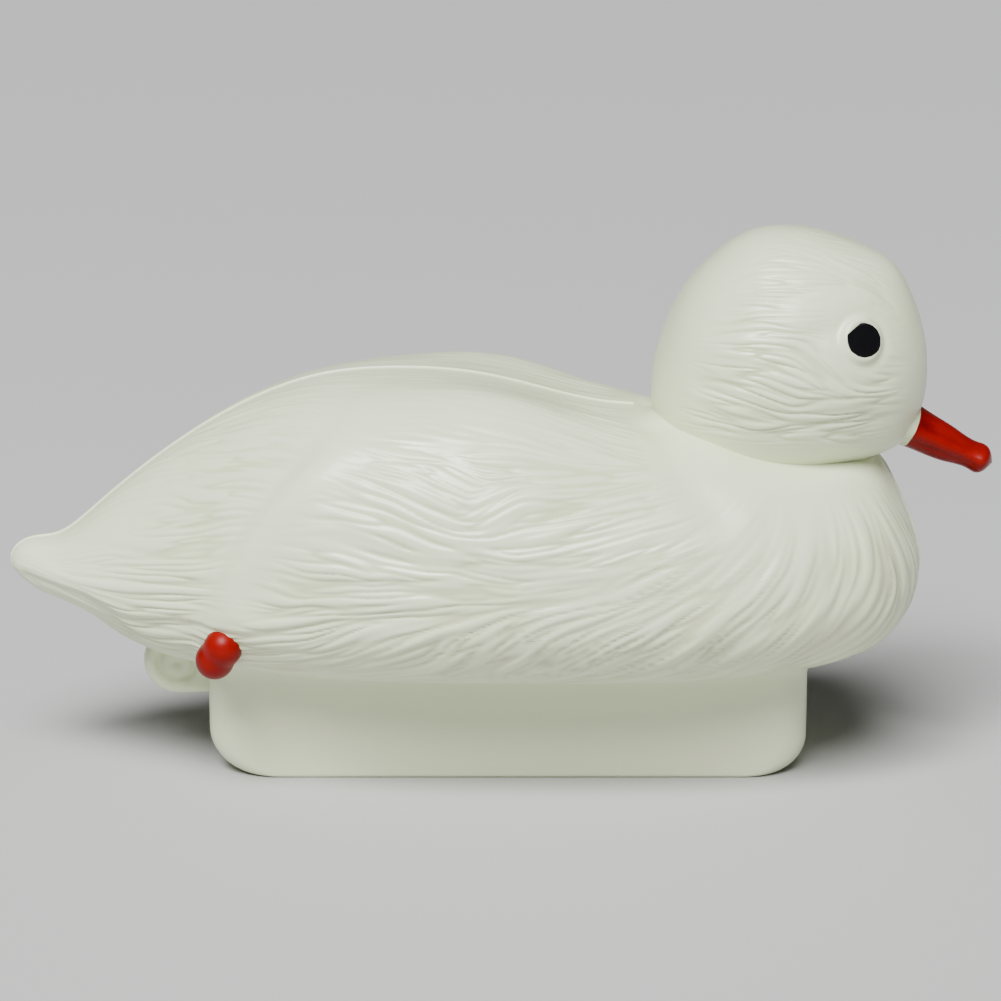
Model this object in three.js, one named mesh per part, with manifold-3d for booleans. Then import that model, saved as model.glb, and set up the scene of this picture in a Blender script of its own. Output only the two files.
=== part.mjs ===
// A floating duck decoy, blow moulded, with a head set on its neck and a keel to stand on.
// Millimetres, +X towards the bill, +Z up, origin in the middle of the keel's sole.

import * as THREE from 'three';
import { mergeVertices } from 'three/addons/utils/BufferGeometryUtils.js';
import Module from 'manifold-3d';

const { clamp, degToRad, lerp, smoothstep } = THREE.MathUtils;
const TURN = 2 * Math.PI;

// Driving dimensions of the body
const TAIL_X = -180;
const BREAST_X = 153.9;
const TIP_Z = 78;
const BODY_LENGTH = BREAST_X - TAIL_X;

// Height of the back and of the belly on the centre plane: [x, z]
const BACK_LINE = [[TAIL_X, TIP_Z], [-176, 84.8], [-170, 86.8], [-161, 88.8], [-147, 99.8], [-123, 119.2],
  [-99, 134.6], [-65, 147.9], [-38, 150.4], [-5, 147.7], [39, 137.6], [55, 136.4], [100, 128],
  [136, 117.5], [149.3, 96.5], [BREAST_X, TIP_Z]];
const BELLY_LINE = [[TAIL_X, TIP_Z], [-176, 71.8], [-170, 67.2], [-160, 63.6], [-149, 58.6], [-137, 50],
  [-124, 44.5], [-108, 41.5], [-80, 39.5], [0, 38.5], [70, 39], [114, 41.8], [137, 48.6], [148, 60.4],
  [BREAST_X, TIP_Z]];

// Half width and the height of the widest line: [x, mm]
const HALF_WIDTH = [[TAIL_X, 0], [-176, 8], [-165, 16.5], [-148, 27], [-125, 40], [-95, 56], [-55, 69],
  [-10, 74.5], [35, 74.5], [75, 70.5], [110, 60.5], [135, 46], [148, 28], [BREAST_X, 0]];
const WIDEST_Z = [[TAIL_X, TIP_Z], [-165, 75], [-145, 73], [-110, 76], [-60, 80], [0, 82], [60, 80], [120, 79],
  [BREAST_X, TIP_Z]];

// How square a section is above and below its widest line: 2 is an ellipse
const SQUARE_ABOVE = [[TAIL_X, 2], [-150, 1.85], [-110, 2], [-70, 2.3], [-20, 2.6], [20, 2.6], [70, 2.35],
  [120, 2.1], [BREAST_X, 2]];
const SQUARE_BELOW = [[TAIL_X, 2], [-130, 2], [-60, 2.45], [0, 2.55], [60, 2.5], [120, 2.2], [BREAST_X, 2]];

// The folded wings rise a little on both sides of the back
const WING = { x: 5, reach: 34, y: 38, width: 16, height: 4.4, fromZ: 100, toZ: 120 };

// The flank ends towards the tail in a smooth rolled edge: [z, x of the edge]
const FLANK_EDGE = [[40, -108], [65, -102.5], [77, -98.5], [93, -91], [108, -81.5], [127, -65], [141, -53],
  [150, -45]];
const FLANK = { step: 2.2, from: -7, to: 1, roll: 1, rollAt: 4, rollWidth: 6, fade: 70, lean: 0.85 };
const ON_SIDE = { fromY: 16, toY: 38, fromZ: 44, toZ: 56 };

// A soft valley parts the collar from the shoulder: points on the right side
const COLLAR_VALLEY = [[57, 30, 135], [62, 42, 130], [67, 55, 120], [76, 61, 111]];
const VALLEY = { depth: 2.2, width: 8 };

// Under the tail's side a crease marks off the flat underside: [x, z]
const TAIL_CREASE = [[-174, 73.5], [-162, 71.5], [-152, 69.5], [-143, 64.5], [-137, 57], [-130, 51]];
const CREASE = { depth: 1.1, width: 2.6, fromY: 4, toY: 10 };

// The keel: a plate with rounded ends and rounded lower corners
const KEEL = { back: -107.5, front: 113, top: 58, halfSole: 20, halfTop: 22, edge: 1.2 };
const KEEL_CORNER = { back: 17, front: 14, plan: 12 };

// The line tie: a round tab with a ring groove on the centre plane, behind the keel
const TIE = { x: -119.5, z: 39.8, radius: 12.6, half: 4.6, groove: 6.6, grooveHalf: 1.3,
  grooveDepth: 1.2, rim: 1.4 };

// The feet: two rounded lobes on each side, at the rear of the flank
const FOOT = { x: -100.5, y: 46.5, z: 55.5, upper: [1.8, 0, 3.2], lower: [-2.2, -1, -3.2],
  radius: [8.6, 7.6, 7.8] };
const THIGH = { x: -88.5, y: 57, z: 70, width: 8, height: 1.6 };

// The neck: its centre, and its axis, which leans forward
const NECK = new THREE.Vector3(95.5, 0, 127.9);
const NECK_LEAN = degToRad(13.7);
const NECK_AXIS = new THREE.Vector3(Math.sin(NECK_LEAN), 0, Math.cos(NECK_LEAN));
const NECK_FORWARD = new THREE.Vector3(Math.cos(NECK_LEAN), 0, -Math.sin(NECK_LEAN));
const NECK_RADIUS = 40;
const NECK_GAP = 0.3;
const COLLAR = { rise: 1.6, width: 7, offset: 3, behind: -42, beside: -12, lowest: 20 };

// The head: [height along the neck's axis, reach in front, behind and to the side]
const HEAD_TOP = 75.4;
const HEAD_LOW = -12;
const FACE_LINE = [[HEAD_LOW, 29], [-6, 34.5], [0, 40.5], [4, 46], [8, 50.4], [14, 53], [23, 54.2],
  [35, 52.8], [45, 49.6], [56, 43.8], [66, 36], [72, 27], [HEAD_TOP, 1]];
const NAPE_LINE = [[HEAD_LOW, -35], [0, -41.5], [15, -44.4], [29, -43.8], [45, -39.8], [59, -32], [68, -23.5],
  [73, -13.5], [HEAD_TOP, 1]];
const CHEEK_LINE = [[HEAD_LOW, 31], [0, 38.2], [8, 42], [20, 44.8], [32, 45.4], [44, 43.2], [55, 37.8],
  [65, 29], [71.5, 19], [HEAD_TOP, 0]];
const HEAD_SQUARE = 2.1;
const FACE_TAPER = 0.12;

// The bill: [distance from its root, height above, depth below and half width]
const BILL_ROOT = new THREE.Vector3(146, 0, 130.5);
const BILL_DIP = degToRad(25);
const BILL_LENGTH = 37.5;
const BILL_ABOVE = [[0, 9], [10, 7.2], [20, 4.8], [30, 3.9], [35, 3], [BILL_LENGTH, 0]];
const BILL_BELOW = [[0, 6.4], [7, 6.8], [14, 8.3], [21, 7], [30, 5.6], [35, 4.2], [BILL_LENGTH, 0]];
const BILL_SIDE = [[0, 12], [10, 10.8], [20, 9.8], [30, 9.6], [35, 7.4], [BILL_LENGTH, 0]];
const BILL_STEPS = [0, 6, 12, 18, 24, 29.5, 33.5, 36, 37.2];

// The eyes: low domes on both cheeks
const EYE = { x: 128.3, y: 37.2, z: 168, radius: 9.6, half: 3.8, proud: 1.3, outward: [0.42, 0.86, 0.22] };

// Feather strands, carved as shallow flutes from the collar to the tail and around the head
const STRAND = { depth: 1.2, count: 84, rows: 34, fromCollar: 6, toCollar: 26, tip: 60 };
const SMOOTH_EDGE = { share: 0.9, at: 3, width: 13 };
const SMOOTH_BACK = { share: 0.75, fromZ: 120, toZ: 145 };
const SMOOTH_BELLY = { fromZ: 40, toZ: 50 };
const HEAD_STRAND = { depth: 0.9, rings: 34, around: 28, level: 9 };
const HEAD_SIDE = { nape: [-0.85, -0.55], face: [0.35, 0.75], base: [2, 12], crown: [62, 70] };

const LEAST_EDGE = 0.02;

const WHITE = { color: 0xd7dacb, roughness: 0.36, metalness: 0 };

// A natural cubic spline through [x, value] points
function smoothCurve(points, toStation = (x) => x) {
  const xs = points.map(([x]) => toStation(x));
  const ys = points.map(([, y]) => y);
  const last = xs.length - 1;
  const gap = xs.slice(1).map((x, i) => x - xs[i]);
  const bend = new Array(last + 1).fill(0);
  const factor = new Array(last + 1).fill(0);
  for (let i = 1; i < last; i += 1) {
    const turn = 6 * ((ys[i + 1] - ys[i]) / gap[i] - (ys[i] - ys[i - 1]) / gap[i - 1]);
    const pivot = 2 * (gap[i - 1] + gap[i]) - gap[i - 1] * factor[i - 1];
    factor[i] = gap[i] / pivot;
    bend[i] = (turn - gap[i - 1] * bend[i - 1]) / pivot;
  }
  for (let i = last - 1; i > 0; i -= 1) bend[i] -= factor[i] * bend[i + 1];
  return (value) => {
    const x = clamp(toStation(value), xs[0], xs[last]);
    let i = 0;
    while (i < last - 1 && x > xs[i + 1]) i += 1;
    const after = x - xs[i];
    const before = xs[i + 1] - x;
    const cubic = (bend[i] * before ** 3 + bend[i + 1] * after ** 3) / (6 * gap[i]);
    const left = (ys[i] / gap[i] - bend[i] * gap[i] / 6) * before;
    return cubic + left + (ys[i + 1] / gap[i] - bend[i + 1] * gap[i] / 6) * after;
  };
}

// A bell of height 1 at 0
const bell = (distance, width) => Math.exp(-((distance / width) ** 2));

// The distance from a point to a broken line
function distanceToLine(point, corners) {
  const line = new THREE.Line3();
  const nearest = new THREE.Vector3();
  let least = Infinity;
  for (let i = 1; i < corners.length; i += 1) {
    line.set(corners[i - 1], corners[i]).closestPointToPoint(point, true, nearest);
    least = Math.min(least, nearest.distanceTo(point));
  }
  return least;
}

// Stations along the body, close together at both rounded ends: 0 at the tail, 1 at the breast
const station = (x) => Math.acos(clamp(1 - 2 * (x - TAIL_X) / BODY_LENGTH, -1, 1)) / Math.PI;
const alongBody = (points) => smoothCurve(points, station);
const backZ = alongBody(BACK_LINE);
const bellyZ = alongBody(BELLY_LINE);
const halfWidth = alongBody(HALF_WIDTH);
const widestZ = alongBody(WIDEST_Z);
const squareAbove = alongBody(SQUARE_ABOVE);
const squareBelow = alongBody(SQUARE_BELOW);
const flankEdge = smoothCurve(FLANK_EDGE);
const valleyLine = COLLAR_VALLEY.map((corner) => new THREE.Vector3(...corner));
const creaseLine = TAIL_CREASE.map(([x, z]) => new THREE.Vector3(x, 0, z));

// The distance by which a point lies in front of the flank's rear edge
const aheadOfEdge = (x, z) => FLANK.lean * (x - flankEdge(z));

// The smooth body: every direction of a unit ball gives one point of it
function smoothBody(direction) {
  const x = TAIL_X + BODY_LENGTH * (1 + clamp(direction.x, -1, 1)) / 2;
  const off = Math.hypot(direction.y, direction.z);
  if (off < 1e-9) return new THREE.Vector3(x, 0, TIP_Z);
  const across = direction.y / off;
  const up = direction.z / off;
  const power = up > 0 ? squareAbove(x) : squareBelow(x);
  const reach = (Math.abs(across) ** power + Math.abs(up) ** power) ** (-1 / power);
  const middle = widestZ(x);
  const height = up > 0 ? backZ(x) - middle : middle - bellyZ(x);
  return new THREE.Vector3(x, halfWidth(x) * across * reach, middle + height * up * reach);
}

// The outward normal of a surface that is given over a unit ball
function normalOver(surface, direction) {
  const tiny = 1e-3;
  const side = new THREE.Vector3(direction.y, direction.z, direction.x).cross(direction).normalize();
  const other = new THREE.Vector3().crossVectors(direction, side);
  const at = (vector, step) => surface(direction.clone().addScaledVector(vector, step).normalize());
  const first = at(side, tiny).sub(at(side, -tiny));
  const second = at(other, tiny).sub(at(other, -tiny));
  return first.cross(second).normalize();
}

// How far the wings, flank, collar, valley, crease and thigh rise from the smooth body
function bodyForms(point) {
  const { x, z } = point;
  const y = Math.abs(point.y);
  const side = new THREE.Vector3(x, y, z);
  const wing = WING.height * bell(x - WING.x, WING.reach) * bell(y - WING.y, WING.width)
    * smoothstep(z, WING.fromZ, WING.toZ);
  const ahead = aheadOfEdge(x, z);
  const onSide = smoothstep(y, ON_SIDE.fromY, ON_SIDE.toY) * smoothstep(z, ON_SIDE.fromZ, ON_SIDE.toZ);
  const fading = Math.exp(-Math.max(ahead, 0) / FLANK.fade);
  const edge = FLANK.step * smoothstep(ahead, FLANK.from, FLANK.to) * fading;
  const flank = onSide * (edge + FLANK.roll * bell(ahead - FLANK.rollAt, FLANK.rollWidth));
  const fromNeck = side.clone().sub(NECK);
  const ring = Math.hypot(fromNeck.dot(NECK_FORWARD), y);
  const atCollar = smoothstep(fromNeck.x, COLLAR.behind, COLLAR.beside)
    * smoothstep(z, TIP_Z, TIP_Z + COLLAR.lowest);
  const collar = COLLAR.rise * bell(ring - NECK_RADIUS - COLLAR.offset, COLLAR.width) * atCollar;
  const valley = -VALLEY.depth * bell(distanceToLine(side, valleyLine), VALLEY.width);
  const crease = -CREASE.depth * bell(distanceToLine(new THREE.Vector3(x, 0, z), creaseLine), CREASE.width);
  const thigh = THIGH.height * bell(side.distanceTo(new THREE.Vector3(THIGH.x, THIGH.y, THIGH.z)), THIGH.width);
  return wing + flank + collar + valley + crease * smoothstep(y, CREASE.fromY, CREASE.toY) + thigh;
}

// How deep the strands are cut: none on the rolled edge, the collar and the middle of the back
function strandDepth(point) {
  const { x, z } = point;
  const y = Math.abs(point.y);
  const onEdge = bell(aheadOfEdge(x, z) - SMOOTH_EDGE.at, SMOOTH_EDGE.width);
  const offEdge = 1 - SMOOTH_EDGE.share * onEdge * smoothstep(y, ON_SIDE.fromY, ON_SIDE.toY);
  const fromNeck = point.clone().sub(NECK);
  const ring = Math.hypot(fromNeck.dot(NECK_FORWARD), y) - NECK_RADIUS;
  const offCollar = z > TIP_Z ? smoothstep(ring, STRAND.fromCollar, STRAND.toCollar) : 1;
  const offBack = 1 - SMOOTH_BACK.share * smoothstep(z, SMOOTH_BACK.fromZ, SMOOTH_BACK.toZ);
  const offBelly = smoothstep(z, SMOOTH_BELLY.fromZ, SMOOTH_BELLY.toZ);
  const offTip = smoothstep(x, TAIL_X, TAIL_X + STRAND.tip);
  return STRAND.depth * offEdge * offCollar * offBack * offBelly * offTip;
}

// Lines that leave the neck, run down the breast and flanks and meet at the tip of the tail
const neckDirection = (NECK.x - TAIL_X) * 2 / BODY_LENGTH - 1;
const NECK_POLE = neckDirection / (1 + Math.sqrt(1 - neckDirection ** 2));
const TAIL_POLE = -1;

function feathered(spread, lie) {
  const [real, imaginary] = [Math.exp(spread) * Math.cos(lie), Math.exp(spread) * Math.sin(lie)];
  const above = [NECK_POLE - TAIL_POLE * real, -TAIL_POLE * imaginary];
  const below = [1 - real, -imaginary];
  const aboveSquare = above[0] ** 2 + above[1] ** 2;
  const belowSquare = below[0] ** 2 + below[1] ** 2;
  return new THREE.Vector3(
    2 * (above[0] * below[0] + above[1] * below[1]),
    2 * (above[1] * below[0] - above[0] * below[1]),
    belowSquare - aboveSquare,
  ).divideScalar(belowSquare + aboveSquare);
}

// The line of the feathers on which a direction of the unit ball lies
function lieOf(direction) {
  const plane = [direction.x / (1 + direction.z), direction.y / (1 + direction.z)];
  const fromNeck = Math.atan2(plane[1], plane[0] - NECK_POLE);
  const fromTail = Math.atan2(plane[1], plane[0] - TAIL_POLE);
  return fromNeck - fromTail;
}

// Values of a parameter that part a path into equal steps of a weighted length
function evenSteps(pathPoint, from, to, count, weight = () => 1) {
  const samples = 600;
  const total = [0];
  let before = pathPoint(from);
  for (let i = 1; i <= samples; i += 1) {
    const here = pathPoint(lerp(from, to, i / samples));
    total.push(total[i - 1] + weight(here) * here.distanceTo(before));
    before = here;
  }
  return Array.from({ length: count + 1 }, (_, k) => {
    const goal = total[samples] * k / count;
    let i = 1;
    while (i < samples && total[i] < goal) i += 1;
    const part = (goal - total[i - 1]) / (total[i] - total[i - 1]);
    return lerp(from, to, (i - 1 + part) / samples);
  });
}

// The angles at which the strands leave the neck, even around the middle of the body
function strandLies() {
  const middle = -0.1;
  const ring = (angle) => {
    const off = Math.sqrt(1 - middle ** 2);
    return new THREE.Vector3(middle, -off * Math.sin(angle), -off * Math.cos(angle));
  };
  const angles = evenSteps((angle) => smoothBody(ring(angle)), 0, Math.PI, STRAND.count / 2);
  const oneSide = angles.map((angle, i) => {
    if (i === 0) return 0;
    return i === STRAND.count / 2 ? -Math.PI : lieOf(ring(angle));
  });
  const otherSide = oneSide.slice(1, -1).reverse().map((lie) => -lie);
  return [...oneSide, ...otherSide];
}

// A closed surface from rings of points, with one point at each end
function closedLoft(rings, start, end) {
  const around = rings[0].length;
  const points = [start, ...rings.flat(), end];
  const faces = [];
  const at = (ring, k) => 1 + ring * around + (k % around);
  for (let k = 0; k < around; k += 1) {
    faces.push(0, at(0, k + 1), at(0, k));
    faces.push(points.length - 1, at(rings.length - 1, k), at(rings.length - 1, k + 1));
    for (let ring = 1; ring < rings.length; ring += 1) {
      faces.push(at(ring - 1, k), at(ring - 1, k + 1), at(ring, k));
      faces.push(at(ring, k), at(ring - 1, k + 1), at(ring, k + 1));
    }
  }
  const geometry = new THREE.BufferGeometry().setFromPoints(points);
  geometry.setIndex(faces);
  return geometry;
}

// The body without keel, tie and feet
function featheredBody() {
  const reference = 1.3;
  const collarRow = -1.9;
  const tailRow = 3.3;
  const closeness = (point) => 1 + 0.8 * bell(point.x + 88, 16) + 0.8 * bell(point.distanceTo(NECK) - 46, 12);
  const spreads = evenSteps((spread) => smoothBody(feathered(spread, reference)), collarRow, tailRow,
    STRAND.rows - 1, closeness);
  const lies = strandLies();
  const rings = spreads.map((spread, row) => lies.map((lie, k) => {
    const direction = feathered(spread, lie);
    const point = smoothBody(direction);
    const inner = row === 0 || row === spreads.length - 1;
    const flute = inner ? 0 : strandDepth(point) * (k % 2 === 0 ? 0.5 : -0.5);
    const rise = bodyForms(point) + flute;
    return point.addScaledVector(normalOver(smoothBody, direction), rise);
  }));
  const neckTop = smoothBody(feathered(-12, 0));
  return closedLoft(rings, neckTop, new THREE.Vector3(TAIL_X, 0, TIP_Z));
}

// One level of the keel: a rectangle with rounded corners, seen from above
function keelLevel(z) {
  const inset = (radius) => radius - Math.sqrt(radius ** 2 - Math.max(radius - z, 0) ** 2);
  const edge = KEEL.edge * (1 - Math.sqrt(1 - Math.max(1 - z / KEEL.edge, 0) ** 2));
  const back = KEEL.back + inset(KEEL_CORNER.back);
  const front = KEEL.front - inset(KEEL_CORNER.front);
  const half = lerp(KEEL.halfSole, KEEL.halfTop, z / KEEL.top) - edge;
  const radius = KEEL_CORNER.plan;
  const cornerSteps = 4;
  const corners = [[front, half, 0], [back, half, 1], [back, -half, 2], [front, -half, 3]];
  return corners.flatMap(([x, y, quarter]) => Array.from({ length: cornerSteps + 1 }, (_, i) => {
    const angle = (quarter + i / cornerSteps) * Math.PI / 2;
    const centreX = x - Math.sign(x) * radius;
    const centreY = y - Math.sign(y) * radius;
    return new THREE.Vector3(centreX + radius * Math.cos(angle), centreY + radius * Math.sin(angle), z);
  }));
}

function keel() {
  const levels = [0, 0.35, KEEL.edge, 3.5, 7.5, 12.5, KEEL_CORNER.back, KEEL.top];
  const centre = (KEEL.back + KEEL.front) / 2;
  return closedLoft(levels.map(keelLevel), new THREE.Vector3(centre, 0, 0),
    new THREE.Vector3(centre, 0, KEEL.top));
}

// The round tab for the anchor line, turned about its own axis
function lineTie() {
  const { radius, half, groove, grooveHalf, grooveDepth, rim } = TIE;
  const face = [[0, half], [groove - grooveHalf, half], [groove, half - grooveDepth],
    [groove + grooveHalf, half], [radius - rim, half], [radius, half - rim]];
  const back = face.map(([r, h]) => [r, -h]);
  const profile = [...back, ...face.reverse()].map(([r, h]) => new THREE.Vector2(r, h));
  const tab = new THREE.LatheGeometry(profile, 20);
  return tab.translate(TIE.x, 0, TIE.z);
}

// One rounded lobe
function lobe(centre, [rx, ry, rz]) {
  const ball = new THREE.SphereGeometry(1, 12, 8);
  ball.scale(rx, ry, rz);
  return ball.translate(...centre);
}

function footLobes(side) {
  const place = ([dx, dy, dz]) => [FOOT.x + dx, side * (FOOT.y + dy), FOOT.z + dz];
  return [lobe(place(FOOT.upper), FOOT.radius), lobe(place(FOOT.lower), FOOT.radius)];
}

// The head's outline at a height along the neck's axis, even in steps of a quarter turn over the crown
const headShare = (height) => clamp((height - HEAD_LOW) / (HEAD_TOP - HEAD_LOW), 0, 1);
const headStep = (height) => Math.asin(headShare(height)) / (Math.PI / 2);
const upHead = (points) => smoothCurve(points, headStep);
const faceReach = upHead(FACE_LINE);
const napeReach = upHead(NAPE_LINE);
const cheekReach = upHead(CHEEK_LINE);

function headPoint(height, angle) {
  const [ahead, aside] = [Math.cos(angle), Math.sin(angle)];
  const reach = (Math.abs(ahead) ** HEAD_SQUARE + Math.abs(aside) ** HEAD_SQUARE) ** (-1 / HEAD_SQUARE);
  const [face, nape] = [faceReach(height), napeReach(height)];
  const forward = (face + nape) / 2 + (face - nape) / 2 * ahead * reach;
  const sideways = cheekReach(height) * aside * reach * (1 - FACE_TAPER * ahead);
  return NECK.clone().addScaledVector(NECK_AXIS, height).addScaledVector(NECK_FORWARD, forward)
    .add(new THREE.Vector3(0, sideways, 0));
}

// The strands of the head run level round the cheeks and fade at the face, the nape and the crown
function headStrandDepth(height, angle) {
  const ahead = Math.cos(angle);
  const cheeks = smoothstep(ahead, ...HEAD_SIDE.nape) * (1 - smoothstep(ahead, ...HEAD_SIDE.face));
  const heights = smoothstep(height, ...HEAD_SIDE.base) * (1 - smoothstep(height, ...HEAD_SIDE.crown));
  return HEAD_STRAND.depth * cheeks * heights;
}

function roundHead() {
  const { rings, around } = HEAD_STRAND;
  const last = rings - 1;
  const levels = Array.from({ length: rings }, (_, i) => {
    const rise = Math.sin(0.985 * Math.PI / 2 * i / last);
    const height = lerp(HEAD_LOW, HEAD_TOP, rise);
    const inner = NECK.clone().addScaledVector(NECK_AXIS, height);
    return Array.from({ length: around }, (_, k) => {
      const angle = TURN * k / around;
      const lifted = height + HEAD_STRAND.level * Math.sin(Math.PI * rise) * Math.cos(angle);
      const point = headPoint(lifted, angle);
      const outward = point.clone().sub(inner).normalize();
      return point.addScaledVector(outward, headStrandDepth(height, angle) * (i % 2 === 0 ? 0.5 : -0.5));
    });
  });
  const bottom = NECK.clone().addScaledVector(NECK_AXIS, HEAD_LOW);
  const crown = NECK.clone().addScaledVector(NECK_AXIS, HEAD_TOP).addScaledVector(NECK_FORWARD, 1);
  return closedLoft(levels, bottom, crown);
}

// The bill: flat below, with a ridge along its top
const billAbove = smoothCurve(BILL_ABOVE);
const billBelow = smoothCurve(BILL_BELOW);
const billSide = smoothCurve(BILL_SIDE);

function bill() {
  const forward = new THREE.Vector3(Math.cos(BILL_DIP), 0, -Math.sin(BILL_DIP));
  const upward = new THREE.Vector3(Math.sin(BILL_DIP), 0, Math.cos(BILL_DIP));
  const around = 16;
  const rings = BILL_STEPS.map((distance) => Array.from({ length: around }, (_, k) => {
    const angle = TURN * k / around;
    const [aside, over] = [Math.cos(angle), Math.sin(angle)];
    const height = over > 0 ? billAbove(distance) : billBelow(distance);
    return BILL_ROOT.clone().addScaledVector(forward, distance)
      .addScaledVector(upward, height * over)
      .add(new THREE.Vector3(0, billSide(distance) * aside, 0));
  }));
  const tip = BILL_ROOT.clone().addScaledVector(forward, BILL_LENGTH);
  return closedLoft(rings, BILL_ROOT, tip);
}

function eye(side) {
  const dome = new THREE.SphereGeometry(1, 14, 7);
  dome.rotateX(Math.PI / 2).scale(EYE.radius, EYE.radius, EYE.half);
  const [ahead, aside, up] = EYE.outward;
  const outward = new THREE.Vector3(ahead, side * aside, up).normalize();
  dome.applyQuaternion(new THREE.Quaternion().setFromUnitVectors(new THREE.Vector3(0, 0, 1), outward));
  const centre = new THREE.Vector3(EYE.x, side * EYE.y, EYE.z).addScaledVector(outward, EYE.proud - EYE.half);
  return dome.translate(centre.x, centre.y, centre.z);
}

// Joining and cutting closed geometries
const wasm = await Module();
wasm.setup();

function toSolid(geometry) {
  const bare = geometry.clone();
  bare.deleteAttribute('normal');
  bare.deleteAttribute('uv');
  const merged = mergeVertices(bare, 1e-4);
  return new wasm.Manifold(new wasm.Mesh({
    numProp: 3,
    vertProperties: new Float32Array(merged.attributes.position.array),
    triVerts: new Uint32Array(merged.index.array),
  }));
}

// The mesh of a solid, without the needle-thin faces that a cut leaves
function toGeometry(solid) {
  const { vertProperties, triVerts } = solid.getMesh();
  const geometry = new THREE.BufferGeometry();
  geometry.setAttribute('position', new THREE.BufferAttribute(new Float32Array(vertProperties), 3));
  geometry.setIndex(new THREE.BufferAttribute(new Uint32Array(triVerts), 1));
  const merged = mergeVertices(geometry, LEAST_EDGE);
  const corners = Array.from(merged.index.array);
  const kept = [];
  for (let i = 0; i < corners.length; i += 3) {
    const face = corners.slice(i, i + 3);
    if (new Set(face).size === 3) kept.push(...face);
  }
  merged.setIndex(kept);
  return merged;
}

function named(name, solid, finish) {
  const geometry = toGeometry(solid);
  geometry.computeVertexNormals();
  const mesh = new THREE.Mesh(geometry, new THREE.MeshStandardMaterial(finish));
  mesh.name = name;
  return mesh;
}

// The body, moulded in one with its keel, line tie and feet
const trunk = toSolid(featheredBody());
const fittings = [keel(), lineTie(), ...footLobes(1), ...footLobes(-1)];
const bodySolid = fittings.reduce((solid, fitting) => solid.add(toSolid(fitting)), trunk);

// The head, moulded in one with its bill and eyes, and hollowed below to sit on the neck
const seat = featheredBody().translate(...NECK_AXIS.clone().multiplyScalar(NECK_GAP).toArray());
const headSolid = [bill(), eye(1), eye(-1)]
  .reduce((solid, form) => solid.add(toSolid(form)), toSolid(roundHead()))
  .subtract(toSolid(seat));

const decoy = new THREE.Group();
decoy.add(named('body', bodySolid, WHITE));
decoy.add(named('head', headSolid, WHITE));

export default decoy;
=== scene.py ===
"""A floating duck decoy with combed feather strands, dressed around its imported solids.

Lengths in the shape classes are millimetres in the part's frame: +X towards the bill, +Z up,
the origin in the middle of the keel's sole. Meshes are made in metres.
"""

import logging
from dataclasses import dataclass, field
from enum import Enum
from typing import Callable, Dict, List, Optional, Sequence, Tuple, Union

import bpy
import numpy as np
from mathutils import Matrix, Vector


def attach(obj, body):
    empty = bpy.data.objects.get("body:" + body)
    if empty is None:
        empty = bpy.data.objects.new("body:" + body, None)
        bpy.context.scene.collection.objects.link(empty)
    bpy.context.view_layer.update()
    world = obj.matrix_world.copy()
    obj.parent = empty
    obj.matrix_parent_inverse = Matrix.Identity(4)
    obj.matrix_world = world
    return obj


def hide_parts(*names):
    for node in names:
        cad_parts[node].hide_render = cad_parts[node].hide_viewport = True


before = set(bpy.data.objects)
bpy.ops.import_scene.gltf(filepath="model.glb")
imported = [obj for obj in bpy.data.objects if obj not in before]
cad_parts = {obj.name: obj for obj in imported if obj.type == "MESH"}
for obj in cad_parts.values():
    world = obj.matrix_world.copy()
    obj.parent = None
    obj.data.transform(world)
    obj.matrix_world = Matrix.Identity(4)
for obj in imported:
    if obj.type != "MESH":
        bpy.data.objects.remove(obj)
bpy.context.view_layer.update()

Array = np.ndarray
Points2 = Sequence[Tuple[float, float]]
Points3 = Sequence[Tuple[float, float, float]]
Socket = bpy.types.NodeSocket
Value = Union[float, Socket]

LOG = logging.getLogger("decoy")
MM = 0.001
BODY = "root"
CAMERA_DIP = np.radians(14.0)


class Half(Enum):
    """The two halves of a mirrored form."""

    RIGHT = -1.0
    LEFT = 1.0


class Slot(Enum):
    """The material slots of the part's record."""

    PEARL = "pearl_white"
    HEAD = "head_white"
    RED = "red_paint"


# Curves and fields


class SmoothCurve:
    """A natural cubic spline through points, over an optional map of its variable."""

    def __init__(self, points: Points2, station: Optional[Callable[[Array], Array]] = None) -> None:
        """Solve the spline.

        Args:
            points: The [variable, value] pairs, in order.
            station: A rising function that spreads the variable, or None.
        """
        self.station = station or (lambda value: value)
        self.xs = self.station(np.array([x for x, _ in points], float))
        self.ys = np.array([y for _, y in points], float)
        self.gap = np.diff(self.xs)
        count = len(self.xs)
        system = np.eye(count)
        turn = np.zeros(count)
        slope = np.diff(self.ys) / self.gap
        for i in range(1, count - 1):
            system[i, i - 1 : i + 2] = self.gap[i - 1], 2 * (self.gap[i - 1] + self.gap[i]), self.gap[i]
            turn[i] = 6 * (slope[i] - slope[i - 1])
        self.bend = np.linalg.solve(system, turn)

    def __call__(self, value: Array) -> Array:
        """Return the curve's value, held level beyond its ends."""
        x = np.clip(self.station(np.asarray(value, float)), self.xs[0], self.xs[-1])
        i = np.clip(np.searchsorted(self.xs, x, side="right") - 1, 0, len(self.gap) - 1)
        after, before, gap = x - self.xs[i], self.xs[i + 1] - x, self.gap[i]
        cubic = (self.bend[i] * before**3 + self.bend[i + 1] * after**3) / (6 * gap)
        left = (self.ys[i] / gap - self.bend[i] * gap / 6) * before
        return cubic + left + (self.ys[i + 1] / gap - self.bend[i + 1] * gap / 6) * after


def bell(distance: Array, width: float) -> Array:
    """Return a bell of height 1 at 0."""
    return np.exp(-((distance / width) ** 2))


def ease(value: Array, start: float, stop: float) -> Array:
    """Return a smooth step from 0 at start to 1 at stop."""
    share = np.clip((value - start) / (stop - start), 0, 1)
    return share * share * (3 - 2 * share)


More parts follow.
